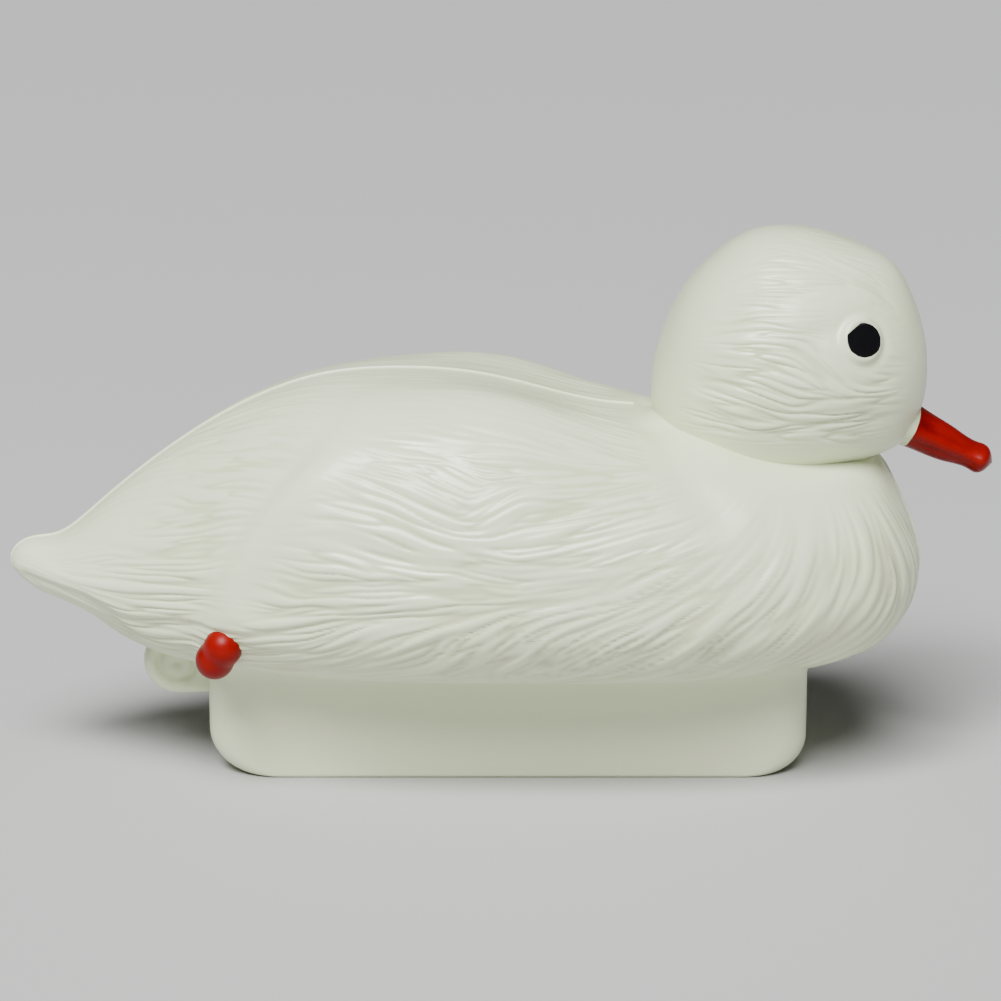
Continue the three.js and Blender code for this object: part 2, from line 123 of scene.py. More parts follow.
def unit(vectors: Array) -> Array:
    """Return the vectors at length 1."""
    return vectors / np.maximum(np.linalg.norm(vectors, axis=-1, keepdims=True), 1e-12)


def mirrored(points: Array) -> Array:
    """Return the points on the other side of the centre plane."""
    return points * np.array([1.0, -1.0, 1.0])


def near_side(points: Array) -> Array:
    """Return the points brought to the right side, where the sizes are measured."""
    return np.stack([points[..., 0], np.abs(points[..., 1]), points[..., 2]], axis=-1)


def line_distance(points: Array, corners: Points3) -> Array:
    """Return the distance from points to a broken line.

    Args:
        points: The points, with the coordinate on the last axis.
        corners: The corners of the line.

    Returns:
        One distance for each point.
    """
    least = np.full(points.shape[:-1], np.inf)
    for start, stop in zip(corners[:-1], corners[1:]):
        first, along = np.array(start, float), np.array(stop, float) - np.array(start, float)
        share = np.clip((points - first) @ along / (along @ along), 0, 1)
        least = np.minimum(least, np.linalg.norm(points - first - share[..., None] * along, axis=-1))
    return least


def even_steps(path: Array, count: int, weight: Optional[Array] = None) -> Array:
    """Return where to cut a path into equal steps of a weighted length.

    Args:
        path: The samples of the path.
        count: How many steps to make.
        weight: A weight for each sample, or None.

    Returns:
        The positions of the count + 1 cuts, as shares of the samples from 0 to 1.
    """
    pieces = np.linalg.norm(np.diff(path, axis=0), axis=1)
    if weight is not None:
        pieces = pieces * (weight[1:] + weight[:-1]) / 2
    total = np.concatenate([[0.0], np.cumsum(pieces)])
    shares = np.linspace(0, 1, len(path))
    return np.interp(np.linspace(0, total[-1], count + 1), total, shares)


class Lattice:
    """Soft random values over space, the same on every run."""

    def __init__(self, cell: float, seed: int) -> None:
        """Fill a block of cells.

        Args:
            cell: The size of one cell.
            seed: The start of the random numbers.
        """
        self.cell = cell
        self.low = np.array([-200.0, -100.0, -20.0])
        shape = (np.array([400.0, 200.0, 240.0]) / cell).astype(int) + 3
        self.values = np.random.default_rng(seed).standard_normal(shape).astype(np.float32)

    def __call__(self, points: Array) -> Array:
        """Return the value at each point."""
        place = (points - self.low) / self.cell
        base = place.astype(int)
        part = place - base
        part = part * part * (3 - 2 * part)
        result = np.zeros(points.shape[:-1])
        for corner in range(8):
            step = np.array([corner & 1, corner >> 1 & 1, corner >> 2])
            share = np.prod(np.where(step, part, 1 - part), axis=-1)
            i, j, k = np.moveaxis(base + step, -1, 0)
            result += share * self.values[i, j, k]
        return result


@dataclass
class Strand:
    """One measured strand: a place on the right side and its slope in a side view."""

    x: float
    y: float
    z: float
    slope: float


class Comb:
    """Strands combed over one half of a surface that is laid out in rows and columns."""

    STEP = 1.3

    def __init__(self, points: Array, strands: Sequence[Strand], rest: float, hold: float) -> None:
        """Work out the way of the strands at every point.

        Args:
            points: The surface's points on the right side, as rows by columns by 3.
            strands: The measured strands.
            rest: The angle from the rows' direction where no strand is near.
            hold: How far a measured strand holds its way.
        """
        self.points = points
        self.along = np.gradient(points, axis=0)
        self.across = np.gradient(points, axis=1)
        self.row_step = np.linalg.norm(self.along, axis=-1)
        self.forward = unit(self.along)
        self.normal = unit(np.cross(self.across, self.along))
        self.sideways = np.cross(self.normal, self.forward)
        self.double = self._ways(strands, rest, hold)

    def _ways(self, strands: Sequence[Strand], rest: float, hold: float) -> Array:
        """Return the doubled angle's cosine and sine at every point."""
        up = np.array([0.0, np.sin(CAMERA_DIP), np.cos(CAMERA_DIP)])
        total = np.zeros(self.points.shape[:2] + (2,))
        total += np.array([np.cos(2 * rest), np.sin(2 * rest)]) / hold**4
        for strand in strands:
            place = np.array([strand.x, strand.y, strand.z])
            square = ((self.points - place) ** 2).sum(axis=-1)
            at = np.unravel_index(np.argmin(square), square.shape)
            across, along = self.across[at], self.along[at]
            seen = np.array([[across[0], along[0]], [across @ up, along @ up]])
            slope = np.radians(strand.slope)
            shares = np.linalg.solve(seen, [np.cos(slope), np.sin(slope)])
            tangent = unit(shares[0] * across + shares[1] * along)
            angle = np.arctan2(tangent @ self.sideways[at], tangent @ self.forward[at])
            weight = 1 / (square + 4.0) ** 2
            total += weight[..., None] * np.array([np.cos(2 * angle), np.sin(2 * angle)])
        return unit(total)

    @staticmethod
    def _sample(values: Array, row: Array, column: Array) -> Array:
        """Return values between rows and columns."""
        rows, columns = values.shape[:2]
        row = np.clip(row, 0, rows - 1.001)
        column = np.clip(column, 0, columns - 1.001)
        i, j = row.astype(int), column.astype(int)
        down, over = (row - i)[..., None], (column - j)[..., None]
        near = values[i, j] * (1 - over) + values[i, j + 1] * over
        far = values[i + 1, j] * (1 - over) + values[i + 1, j + 1] * over
        return near * (1 - down) + far * down

    def flow(self, lattices: Sequence[Lattice], lengths: Sequence[float]) -> List[Dict[Half, Array]]:
        """Draw random values out along the strands.

        Args:
            lattices: The random values.
            lengths: How far each is drawn out to either side.

        Returns:
            For each lattice the drawn values of both halves, with a spread of 1.
        """
        skew = (self.across * self.forward).sum(axis=-1)
        reach = (self.across * self.sideways).sum(axis=-1)
        reach = np.where(np.abs(reach) < 0.05, 0.05 * np.sign(reach + 1e-9), reach)
        layers = [self.double, self.row_step[..., None], skew[..., None], reach[..., None], self.points]
        field = np.concatenate(layers, axis=-1).astype(np.float32)
        rows, columns = np.meshgrid(*map(np.arange, self.points.shape[:2]), indexing="ij")
        sums = [{half: lattice(self.points if half is Half.RIGHT else mirrored(self.points)) for half in Half}
                for lattice in lattices]
        for sign in (1.0, -1.0):
            row, column = rows.astype(np.float32), columns.astype(np.float32)
            heading = None
            for step in range(1, int(max(lengths) / self.STEP) + 1):
                here = self._sample(field, row, column)
                angle = np.arctan2(here[..., 1], here[..., 0]) / 2
                way = np.stack([np.cos(angle), np.sin(angle)], axis=-1)
                if heading is None:
                    heading = way * sign
                turned = np.sign((way * heading).sum(axis=-1) + 1e-9)
                heading = way * turned[..., None]
                over = heading[..., 1] / here[..., 4]
                row = row + self.STEP * (heading[..., 0] - over * here[..., 3]) / here[..., 2]
                column = column + self.STEP * over
                place = self._sample(field[..., 5:], row, column)
                for lattice, length, both in zip(lattices, lengths, sums):
                    share = step * self.STEP / length
                    if share < 1:
                        weight = np.cos(share * np.pi / 2) ** 2
                        both[Half.RIGHT] += weight * lattice(place)
                        both[Half.LEFT] += weight * lattice(mirrored(place))
        return [{half: values / values.std() for half, values in both.items()} for both in sums]


def strand_profile(flow: Array, sharpness: float) -> Array:
    """Return rounded strands with narrow grooves between them.

    Args:
        flow: Drawn values with a spread of 1.
        sharpness: How fast a strand rises from its groove.

    Returns:
        Heights from 0 in a groove to about 1 on a strand.
    """
    softness = 0.1
    height = sharpness * (np.sqrt(flow**2 + softness) - np.sqrt(softness))
    return 1.5 * height / (1 + height)


# Meshes


def triangles_of(faces: Sequence[Sequence[int]]) -> int:
    """Return how many triangles the faces make."""
    return sum(len(face) - 2 for face in faces)


def mesh_object(
    name: str,
    points: Array,
    faces: List[Sequence[int]],
    values: Optional[Dict[str, Array]] = None,
    flat_from: Optional[int] = None,
) -> bpy.types.Object:
    """Make a mesh object at the origin.

    Args:
        name: The piece's name.
        points: Its corners, in millimetres.
        faces: Its faces, which point outwards.
        values: Named values at the corners.
        flat_from: The first of the faces that are shaded flat, or None.

    Returns:
        The new object.
    """
    mesh = bpy.data.meshes.new(name)
    mesh.from_pydata((points * MM).tolist(), [], faces)
    smooth = np.ones(len(faces), bool)
    if flat_from is not None:
        smooth[flat_from:] = False
    mesh.polygons.foreach_set("use_smooth", smooth)
    for key, array in (values or {}).items():
        layer = mesh.attributes.new(key, "FLOAT", "POINT")
        layer.data.foreach_set("value", np.asarray(array, np.float32))
    mesh.update()
    piece = bpy.data.objects.new(name, mesh)
    bpy.context.scene.collection.objects.link(piece)
    LOG.info("%s: %d triangles", name, triangles_of(faces))
    return piece


def signed_volume(points: Array, faces: Sequence[Sequence[int]]) -> float:
    """Return the volume inside the faces, below 0 when they point inwards."""
    total = 0.0
    for count in {len(face) for face in faces}:
        index = np.array([face for face in faces if len(face) == count])
        for i in range(1, count - 1):
            a, b, c = points[index[:, 0]], points[index[:, i]], points[index[:, i + 1]]
            total += np.einsum("ij,ij->i", a, np.cross(b, c)).sum() / 6
    return float(total)


def outward(points: Array, faces: List[Sequence[int]]) -> List[Sequence[int]]:
    """Return the faces so that they point outwards."""
    if signed_volume(points, faces) > 0:
        return faces
    return [face[::-1] for face in faces]


def ring_loft(grid: Array, start: Array, stop: Array) -> Tuple[Array, List[Sequence[int]]]:
    """Close rings of points into one surface with a point at each end.

    Args:
        grid: The rings, as rows by columns by 3.
        start: The point before the first ring.
        stop: The point after the last ring.

    Returns:
        The corners and the faces.
    """
    rows, columns = grid.shape[:2]
    points = np.concatenate([start[None], grid.reshape(-1, 3), stop[None]])
    index = 1 + np.arange(rows * columns).reshape(rows, columns)
    after = np.roll(index, -1, axis=1)
    quads = np.stack([index[:-1], after[:-1], after[1:], index[1:]], axis=-1).reshape(-1, 4)
    first = [(0, int(b), int(a)) for a, b in zip(index[0], after[0])]
    last = [(len(points) - 1, int(a), int(b)) for a, b in zip(index[-1], after[-1])]
    faces = quads.tolist() + first + last
    return points, outward(points, faces)


def half_loft(grid: Array, start: Array, stop: Array) -> Tuple[Array, List[Sequence[int]], int]:
    """Close one half of a surface with a flat wall on the centre plane.

    Args:
        grid: The half's points, from centre line to centre line in each row.
        start: The point before the first row.
        stop: The point after the last row.

    Returns:
        The corners, the faces, and the first face of the flat wall.
    """
    rows, columns = grid.shape[:2]
    points = np.concatenate([start[None], grid.reshape(-1, 3), stop[None]])
    index = 1 + np.arange(rows * columns).reshape(rows, columns)
    quads = np.stack([index[:-1, :-1], index[:-1, 1:], index[1:, 1:], index[1:, :-1]], axis=-1)
    last_point = len(points) - 1
    faces = quads.reshape(-1, 4).tolist()
    faces += [(0, int(b), int(a)) for a, b in zip(index[0, :-1], index[0, 1:])]
    faces += [(last_point, int(a), int(b)) for a, b in zip(index[-1, :-1], index[-1, 1:])]
    wall_from = len(faces)
    wall = np.stack([index[:-1, 0], index[1:, 0], index[1:, -1], index[:-1, -1]], axis=-1)
    faces += wall.tolist()
    faces.append((0, int(index[0, 0]), int(index[0, -1])))
    faces.append((last_point, int(index[-1, -1]), int(index[-1, 0])))
    return points, outward(points, faces), wall_from


def dressed(
    piece: bpy.types.Object, finish: bpy.types.Material, replaced: Sequence[str] = ()
) -> bpy.types.Object:
    """Give a piece its finish and say what it rides on and stands for.

    Args:
        piece: The piece.
        finish: Its material.
        replaced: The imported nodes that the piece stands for.

    Returns:
        The same piece.
    """
    if not piece.data.materials:
        piece.data.materials.append(finish)
    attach(piece, BODY)
    if replaced:
        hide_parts(*replaced)
    return piece


# Shader helpers


class Sketch:
    """Adds nodes to a tree and joins them."""

    def __init__(self, tree: bpy.types.NodeTree) -> None:
        """Keep the tree."""
        self.tree = tree

    def add(self, kind: str, **settings: object) -> bpy.types.Node:
        """Add a node and set its properties."""
        node = self.tree.nodes.new(kind)
        for key, value in settings.items():
            setattr(node, key, value)
        return node

    def feed(self, target: Socket, value: object) -> None:
        """Link a socket to another, or set its own value."""
        if isinstance(value, bpy.types.NodeSocket):
            self.tree.links.new(value, target)
        else:
            target.default_value = value

    def math(self, operation: str, *values: Value, clamp: bool = False) -> Socket:
        """Add a Math node and return its result."""
        node = self.add("ShaderNodeMath", operation=operation, use_clamp=clamp)
        for socket, value in zip(node.inputs, values):
            self.feed(socket, value)
        return node.outputs[0]

    def vector(self, operation: str, *values: object) -> bpy.types.Node:
        """Add a Vector Math node."""
        node = self.add("ShaderNodeVectorMath", operation=operation)
        for socket, value in zip(node.inputs, values):
            self.feed(socket, value)
        return node

    def blend(self, share: Value, first: object, second: object) -> Socket:
        """Mix two colours and return the result."""
        node = self.add("ShaderNodeMix", data_type="RGBA")
        self.feed(node.inputs["Factor"], share)
        self.feed(node.inputs[6], first)
        self.feed(node.inputs[7], second)
        return node.outputs[2]

    def span(self, value: Value, low: float, high: float, to_low: float = 0.0, to_high: float = 1.0) -> Socket:
        """Map a range to another, smoothly and held at its ends."""
        node = self.add("ShaderNodeMapRange", interpolation_type="SMOOTHSTEP")
        for socket, number in zip(node.inputs, (value, low, high, to_low, to_high)):
            self.feed(socket, number)
        return node.outputs[0]


def group_tree(name: str, inputs: Sequence[Tuple[str, str, object]], outputs: Sequence[Tuple[str, str]]):
    """Start a shader node group.

    Args:
        name: The group's name.
        inputs: Name, socket type and default of each input.
        outputs: Name and socket type of each output.

    Returns:
        The sketch of its tree, its input node and its output node.
    """
    tree = bpy.data.node_groups.new(name, "ShaderNodeTree")
    for label, kind, default in inputs:
        socket = tree.interface.new_socket(label, in_out="INPUT", socket_type=kind)
        if default is not None:
            socket.default_value = default
    for label, kind in outputs:
        tree.interface.new_socket(label, in_out="OUTPUT", socket_type=kind)
    sketch = Sketch(tree)
    return sketch, sketch.add("NodeGroupInput"), sketch.add("NodeGroupOutput")


class SharedEffects:
    """The node groups that more than one finish uses."""

    def __init__(self) -> None:
        """Build each group once."""
        self.skin = self._moulded_skin()
        self.hollow_shade = self._painted_shade_group()
        self.spot = self._painted_spot()
        self.beyond = self._painted_beyond()

    @staticmethod
    def _moulded_skin() -> bpy.types.NodeTree:
        """Build the faint clouding and fine grain of moulded plastic."""
        sketch, given, result = group_tree(
            "moulded_skin",
            [("Place", "NodeSocketVector", None), ("Cloud Scale", "NodeSocketFloat", 30.0),
             ("Grain Scale", "NodeSocketFloat", 900.0), ("Grain Share", "NodeSocketFloat", 0.4)],
            [("Cloud", "NodeSocketFloat"), ("Height", "NodeSocketFloat")],
        )
        cloud = sketch.add("ShaderNodeTexNoise")
        sketch.feed(cloud.inputs["Vector"], given.outputs["Place"])
        sketch.feed(cloud.inputs["Scale"], given.outputs["Cloud Scale"])
        cloud.inputs["Detail"].default_value = 4.0
        grain = sketch.add("ShaderNodeTexNoise")
        sketch.feed(grain.inputs["Vector"], given.outputs["Place"])
        sketch.feed(grain.inputs["Scale"], given.outputs["Grain Scale"])
        grain.inputs["Detail"].default_value = 3.0
        flow = sketch.add("ShaderNodeTexNoise")
        sketch.feed(flow.inputs["Vector"], given.outputs["Place"])
        flow.inputs["Scale"].default_value = 140.0
        height = sketch.math("ADD", sketch.math("MULTIPLY", grain.outputs["Fac"], given.outputs["Grain Share"]),
                             flow.outputs["Fac"])
        sketch.feed(result.inputs["Cloud"], sketch.span(cloud.outputs["Fac"], 0.35, 0.65))
        sketch.feed(result.inputs["Height"], height)
        return sketch.tree

    @staticmethod
    def _painted_shade_group() -> bpy.types.NodeTree:
        """Build the shade painted into the hollows of the carving: a darker, greener colour in the grooves than on the
        crests, under a random veil.
        """
        sketch, given, result = group_tree(
            "painted_hollow_shade",
            [("Relief", "NodeSocketFloat", 1.0), ("Cloud", "NodeSocketFloat", 0.5),
             ("Crest", "NodeSocketColor", None), ("Hollow", "NodeSocketColor", None),
             ("Veil", "NodeSocketColor", None), ("Veil Share", "NodeSocketFloat", 0.4)],
            [("Color", "NodeSocketColor")],
        )
        rise = sketch.span(given.outputs["Relief"], 0.0, 0.75)
        carved = sketch.blend(rise, given.outputs["Hollow"], given.outputs["Crest"])
        share = sketch.math("MULTIPLY", given.outputs["Cloud"], given.outputs["Veil Share"])
        sketch.feed(result.inputs["Color"], sketch.blend(share, carved, given.outputs["Veil"]))
        return sketch.tree

    @staticmethod
    def _painted_spot() -> bpy.types.NodeTree:
        """Build a round painted spot on both sides, cut straight on one side."""
        sketch, given, result = group_tree(
            "painted_spot",
            [("Place", "NodeSocketVector", None), ("Centre", "NodeSocketVector", None),
             ("Ahead", "NodeSocketVector", None), ("Up", "NodeSocketVector", None),
             ("Radius", "NodeSocketFloat", 0.006), ("Cut", "NodeSocketFloat", 0.005),
             ("Softness", "NodeSocketFloat", 0.0001)],
            [("Mask", "NodeSocketFloat")],
        )
        one_side = sketch.vector("ABSOLUTE", given.outputs["Place"]).outputs[0]
        from_centre = sketch.vector("SUBTRACT", one_side, given.outputs["Centre"]).outputs[0]
        ahead = sketch.vector("DOT_PRODUCT", from_centre, given.outputs["Ahead"]).outputs["Value"]
        up = sketch.vector("DOT_PRODUCT", from_centre, given.outputs["Up"]).outputs["Value"]
        narrowed = sketch.math("MULTIPLY", ahead, 0.86)
        square = sketch.math("ADD", sketch.math("MULTIPLY", narrowed, narrowed), sketch.math("MULTIPLY", up, up))
        wobble = sketch.add("ShaderNodeTexNoise")
        sketch.feed(wobble.inputs["Vector"], given.outputs["Place"])
        wobble.inputs["Scale"].default_value = 260.0
        ripple = sketch.math("MULTIPLY", sketch.math("SUBTRACT", wobble.outputs["Fac"], 0.5), 0.0012)
        off = sketch.math("ADD", sketch.math("SQRT", square), ripple)
        across_cut = sketch.math("ADD", sketch.math("MULTIPLY", ahead, -0.6), sketch.math("MULTIPLY", up, 0.8))
        inside = sketch.math("SUBTRACT", given.outputs["Radius"], off)
        before_cut = sketch.math("SUBTRACT", given.outputs["Cut"], across_cut)
        least = sketch.math("DIVIDE", sketch.math("MINIMUM", inside, before_cut), given.outputs["Softness"])
        sketch.feed(result.inputs["Mask"], sketch.span(least, -1.0, 1.0))
        return sketch.tree

    @staticmethod
    def _painted_beyond() -> bpy.types.NodeTree:
        """Build paint that starts at a plane, with a hand-painted edge."""
        sketch, given, result = group_tree(
            "painted_beyond",
            [("Place", "NodeSocketVector", None), ("Start", "NodeSocketVector", None),
             ("Way", "NodeSocketVector", None), ("Ripple", "NodeSocketFloat", 0.0006),
             ("Softness", "NodeSocketFloat", 0.00012)],
            [("Mask", "NodeSocketFloat")],
        )
        from_start = sketch.vector("SUBTRACT", given.outputs["Place"], given.outputs["Start"]).outputs[0]
        beyond = sketch.vector("DOT_PRODUCT", from_start, given.outputs["Way"]).outputs["Value"]
        wobble = sketch.add("ShaderNodeTexNoise")
        sketch.feed(wobble.inputs["Vector"], given.outputs["Place"])
        wobble.inputs["Scale"].default_value = 220.0
        ripple = sketch.math("MULTIPLY", sketch.math("SUBTRACT", wobble.outputs["Fac"], 0.5), given.outputs["Ripple"])
        edge = sketch.math("DIVIDE", sketch.math("ADD", beyond, ripple), given.outputs["Softness"])
        sketch.feed(result.inputs["Mask"], sketch.span(edge, -1.0, 1.0))
        return sketch.tree


@dataclass(frozen=True)
class Spot:
    """A painted spot on both sides of a piece."""

    centre: Tuple[float, float, float]
    ahead: Tuple[float, float, float]
    up: Tuple[float, float, float]
    radius: float
    cut: float
    color: Tuple[float, float, float, float] = (0.003, 0.003, 0.004, 1.0)
    roughness: float = 0.16


@dataclass(frozen=True)
class PearlFinish:
    """Pearly off-white moulded plastic with a satin gloss, and shade painted darker and greener into its grooves."""

    name: str
    crest: Tuple[float, float, float, float] = (0.76, 0.83, 0.57, 1.0)
    # hollow is the darker, greener colour painted into the grooves as shade.
    hollow: Tuple[float, float, float, float] = (0.64, 0.70, 0.44, 1.0)
    veil: Tuple[float, float, float, float] = (0.79, 0.84, 0.61, 1.0)
    veil_share: float = 0.45
    roughness: float = 0.30
    cloud_roughness: float = 0.10
    grain_depth: float = 0.00016
    grain_strength: float = 0.35
    streaks: bool = False
    spot: Optional[Spot] = None

    def build(self, shared: SharedEffects) -> bpy.types.Material:
        """Make the material.

        Args:
            shared: The shared node groups.

        Returns:
            The new material.
        """
        material = bpy.data.materials.new(self.name)
        material.use_nodes = True
        sketch = Sketch(material.node_tree)
        shader = material.node_tree.nodes["Principled BSDF"]
        place = sketch.add("ShaderNodeTexCoord").outputs["Object"]
        skin = sketch.add("ShaderNodeGroup", node_tree=shared.skin)
        sketch.feed(skin.inputs["Place"], place)
        relief = sketch.add("ShaderNodeAttribute", attribute_name="relief").outputs["Fac"]
        # The relief attribute drives the shade painted into the grooves of the carving.
        hollow_shade = sketch.add("ShaderNodeGroup", node_tree=shared.hollow_shade)
        sketch.feed(hollow_shade.inputs["Relief"], relief)
        sketch.feed(hollow_shade.inputs["Cloud"], skin.outputs["Cloud"])
        sketch.feed(hollow_shade.inputs["Crest"], self.crest)
        sketch.feed(hollow_shade.inputs["Hollow"], self.hollow)
        sketch.feed(hollow_shade.inputs["Veil"], self.veil)
        sketch.feed(hollow_shade.inputs["Veil Share"], self.veil_share)
        color = hollow_shade.outputs["Color"]
        cloud = sketch.math("MULTIPLY", skin.outputs["Cloud"], self.cloud_roughness)
        roughness = sketch.math("ADD", cloud, self.roughness)
        height = skin.outputs["Height"]
        if self.streaks:
            stretch = sketch.add("ShaderNodeMapping")
            sketch.feed(stretch.inputs["Vector"], place)
            stretch.inputs["Scale"].default_value = (26.0, 26.0, 420.0)
            streak = sketch.add("ShaderNodeTexNoise")
            sketch.feed(streak.inputs["Vector"], stretch.outputs["Vector"])
            streak.inputs["Scale"].default_value = 1.0
            streak.inputs["Detail"].default_value = 5.0
            height = sketch.math("ADD", height, sketch.math("MULTIPLY", streak.outputs["Fac"], 1.6))
        if self.spot:
            spot = sketch.add("ShaderNodeGroup", node_tree=shared.spot)
            sketch.feed(spot.inputs["Place"], place)
            sketch.feed(spot.inputs["Centre"], self.spot.centre)
            sketch.feed(spot.inputs["Ahead"], self.spot.ahead)
            sketch.feed(spot.inputs["Up"], self.spot.up)
            sketch.feed(spot.inputs["Radius"], self.spot.radius)
            sketch.feed(spot.inputs["Cut"], self.spot.cut)
            mask = spot.outputs["Mask"]
            color = sketch.blend(mask, color, self.spot.color)
            smoother = sketch.math("MULTIPLY", mask, self.spot.roughness - self.roughness)
            roughness = sketch.math("ADD", roughness, smoother)
            bare = sketch.math("SUBTRACT", 1.0, mask)
            height = sketch.math("MULTIPLY", height, bare)
        bump = sketch.add("ShaderNodeBump")
        bump.inputs["Strength"].default_value = self.grain_strength
        bump.inputs["Distance"].default_value = self.grain_depth
        sketch.feed(bump.inputs["Height"], height)
        sketch.feed(shader.inputs["Base Color"], color)
        sketch.feed(shader.inputs["Roughness"], roughness)
        sketch.feed(shader.inputs["Normal"], bump.outputs["Normal"])
        shader.inputs["Coat Weight"].default_value = 0.22
        shader.inputs["Coat Roughness"].default_value = 0.2
        return material


@dataclass(frozen=True)
class EnamelFinish:
    """Satin enamel brushed on the plastic, which shows where the paint starts."""

    name: str
    color: Tuple[float, float, float, float] = (0.24, 0.001, 0.0001, 1.0)
    # deep is the darker red used where shade is painted, in grooves and where the foot meets the body.
    deep: Tuple[float, float, float, float] = (0.15, 0.0004, 0.0001, 1.0)
    bare: Tuple[float, float, float, float] = (0.76, 0.83, 0.57, 1.0)
    roughness: float = 0.3
    start: Optional[Tuple[float, float, float]] = None
    way: Tuple[float, float, float] = (1.0, 0.0, 0.0)

    def build(self, shared: SharedEffects) -> bpy.types.Material:
        """Make the material.

        Args:
            shared: The shared node groups.

        Returns:
            The new material.
        """
        material = bpy.data.materials.new(self.name)
        material.use_nodes = True
        sketch = Sketch(material.node_tree)
        shader = material.node_tree.nodes["Principled BSDF"]
        place = sketch.add("ShaderNodeTexCoord").outputs["Object"]
        skin = sketch.add("ShaderNodeGroup", node_tree=shared.skin)
        sketch.feed(skin.inputs["Place"], place)
        skin.inputs["Cloud Scale"].default_value = 120.0
        skin.inputs["Grain Scale"].default_value = 1500.0
        relief = sketch.add("ShaderNodeAttribute", attribute_name="relief").outputs["Fac"]
        # Paler red on raised places, darker red in low places: partly wear, partly painted shade in the grooves,
        # nostrils and where the foot meets the body.
        wear_and_shade = sketch.math("MULTIPLY", sketch.span(relief, 0.2, 0.9), 0.65)
        lively = sketch.math("ADD", wear_and_shade, sketch.math("MULTIPLY", skin.outputs["Cloud"], 0.35))
        color = sketch.blend(lively, self.deep, self.color)
        roughness = sketch.math("ADD", sketch.math("MULTIPLY", skin.outputs["Cloud"], 0.1), self.roughness)
        if self.start:
            beyond = sketch.add("ShaderNodeGroup", node_tree=shared.beyond)
            sketch.feed(beyond.inputs["Place"], place)
            sketch.feed(beyond.inputs["Start"], self.start)
            sketch.feed(beyond.inputs["Way"], self.way)
            color = sketch.blend(beyond.outputs["Mask"], self.bare, color)
        bump = sketch.add("ShaderNodeBump")
        bump.inputs["Strength"].default_value = 0.4
        bump.inputs["Distance"].default_value = 0.00018
        sketch.feed(bump.inputs["Height"], skin.outputs["Height"])
        sketch.feed(shader.inputs["Base Color"], color)
        sketch.feed(shader.inputs["Roughness"], roughness)
        sketch.feed(shader.inputs["Normal"], bump.outputs["Normal"])
        shader.inputs["Specular IOR Level"].default_value = 0.18
        return material


# Measured strands of the right side

BODY_STRANDS = [Strand(*row) for row in (
    (115, -55, 96, 90), (127, -46, 100, -73), (136, -39, 98, -69), (142, -34, 94, -62), (128, -51, 77, 63),
    (107, -61, 91, 75), (95, -66, 86, 51), (81, -69, 87, 40), (68, -72, 87, 33), (62, -69, 103, 22),
    (53, -65, 112, 15), (102, -62, 67, 48), (119, -56, 73, 62), (130, -44, 62, 40), (75, -70, 69, 39),
    (59, -72, 70, 34), (69, -65, 58, 34), (50, -72, 100, 22), (47, -74, 85, 25), (29, -69, 59, 29),
    (-2, -71, 62, 36), (-18, -71, 63, 40), (-7, -75, 95, -10), (20, -75, 94, 7), (23, -72, 106, 15),
    (-3, -70, 116, 30), (37, -69, 110, 17), (29, -65, 120, 5), (20, -63, 124, 0), (-14, -65, 125, -28),
    (-19, -67, 121, -25), (-28, -69, 114, -30), (-35, -71, 106, -25), (-35, -72, 93, -12),
    (-18, -74, 88, 0), (-39, -72, 88, 3), (-18, -74, 76, 14), (-36, -72, 77, 6), (-36, -69, 63, 20),
    (-28, -58, 135, -5), (-7, -59, 133, 0), (18, -48, 137, -20), (22, -52, 133, -17), (41, -46, 132, -15),
    (-10, -51, 141, -10), (-39, -46, 144, 0), (-60, -46, 137, -12), (-70, -47, 131, -17),
    (-81, -48, 121, -10), (-87, -50, 114, -8), (-94, -51, 103, 3), (-100, -51, 95, 8), (-114, -46, 82, 0),
    (-116, -44, 70, -3), (-122, -33, 57, -6), (-68, -62, 107, 0), (-79, -62, 87, -12), (-49, -70, 96, -17),
    (-49, -65, 113, -15), (-57, -69, 83, 0), (-68, -65, 71, 9), (-64, -65, 65, 17), (-53, -66, 63, 20),
    (-42, -66, 58, 15), (-137, -27, 92, 0), (-145, -27, 81, 0), (-115, -23, 118, 0),
)]

HEAD_STRANDS = [Strand(*row) for row in (
    (98, -34, 187, 0), (98, -39, 180, -4), (87, -21, 193, 15), (82, -39, 171, 3), (82, -42, 159, -8),
    (78, -40, 145, -15), (74, -36, 134, -12), (98, -45, 149, -20), (110, -44, 146, 0), (115, -44, 158, -40),
    (98, -40, 130, 0), (119, -39, 135, 5), (127, -21, 190, -20), (137, -18, 184, -30), (113, -36, 182, 0),
)]


# The decoy's sub-assemblies


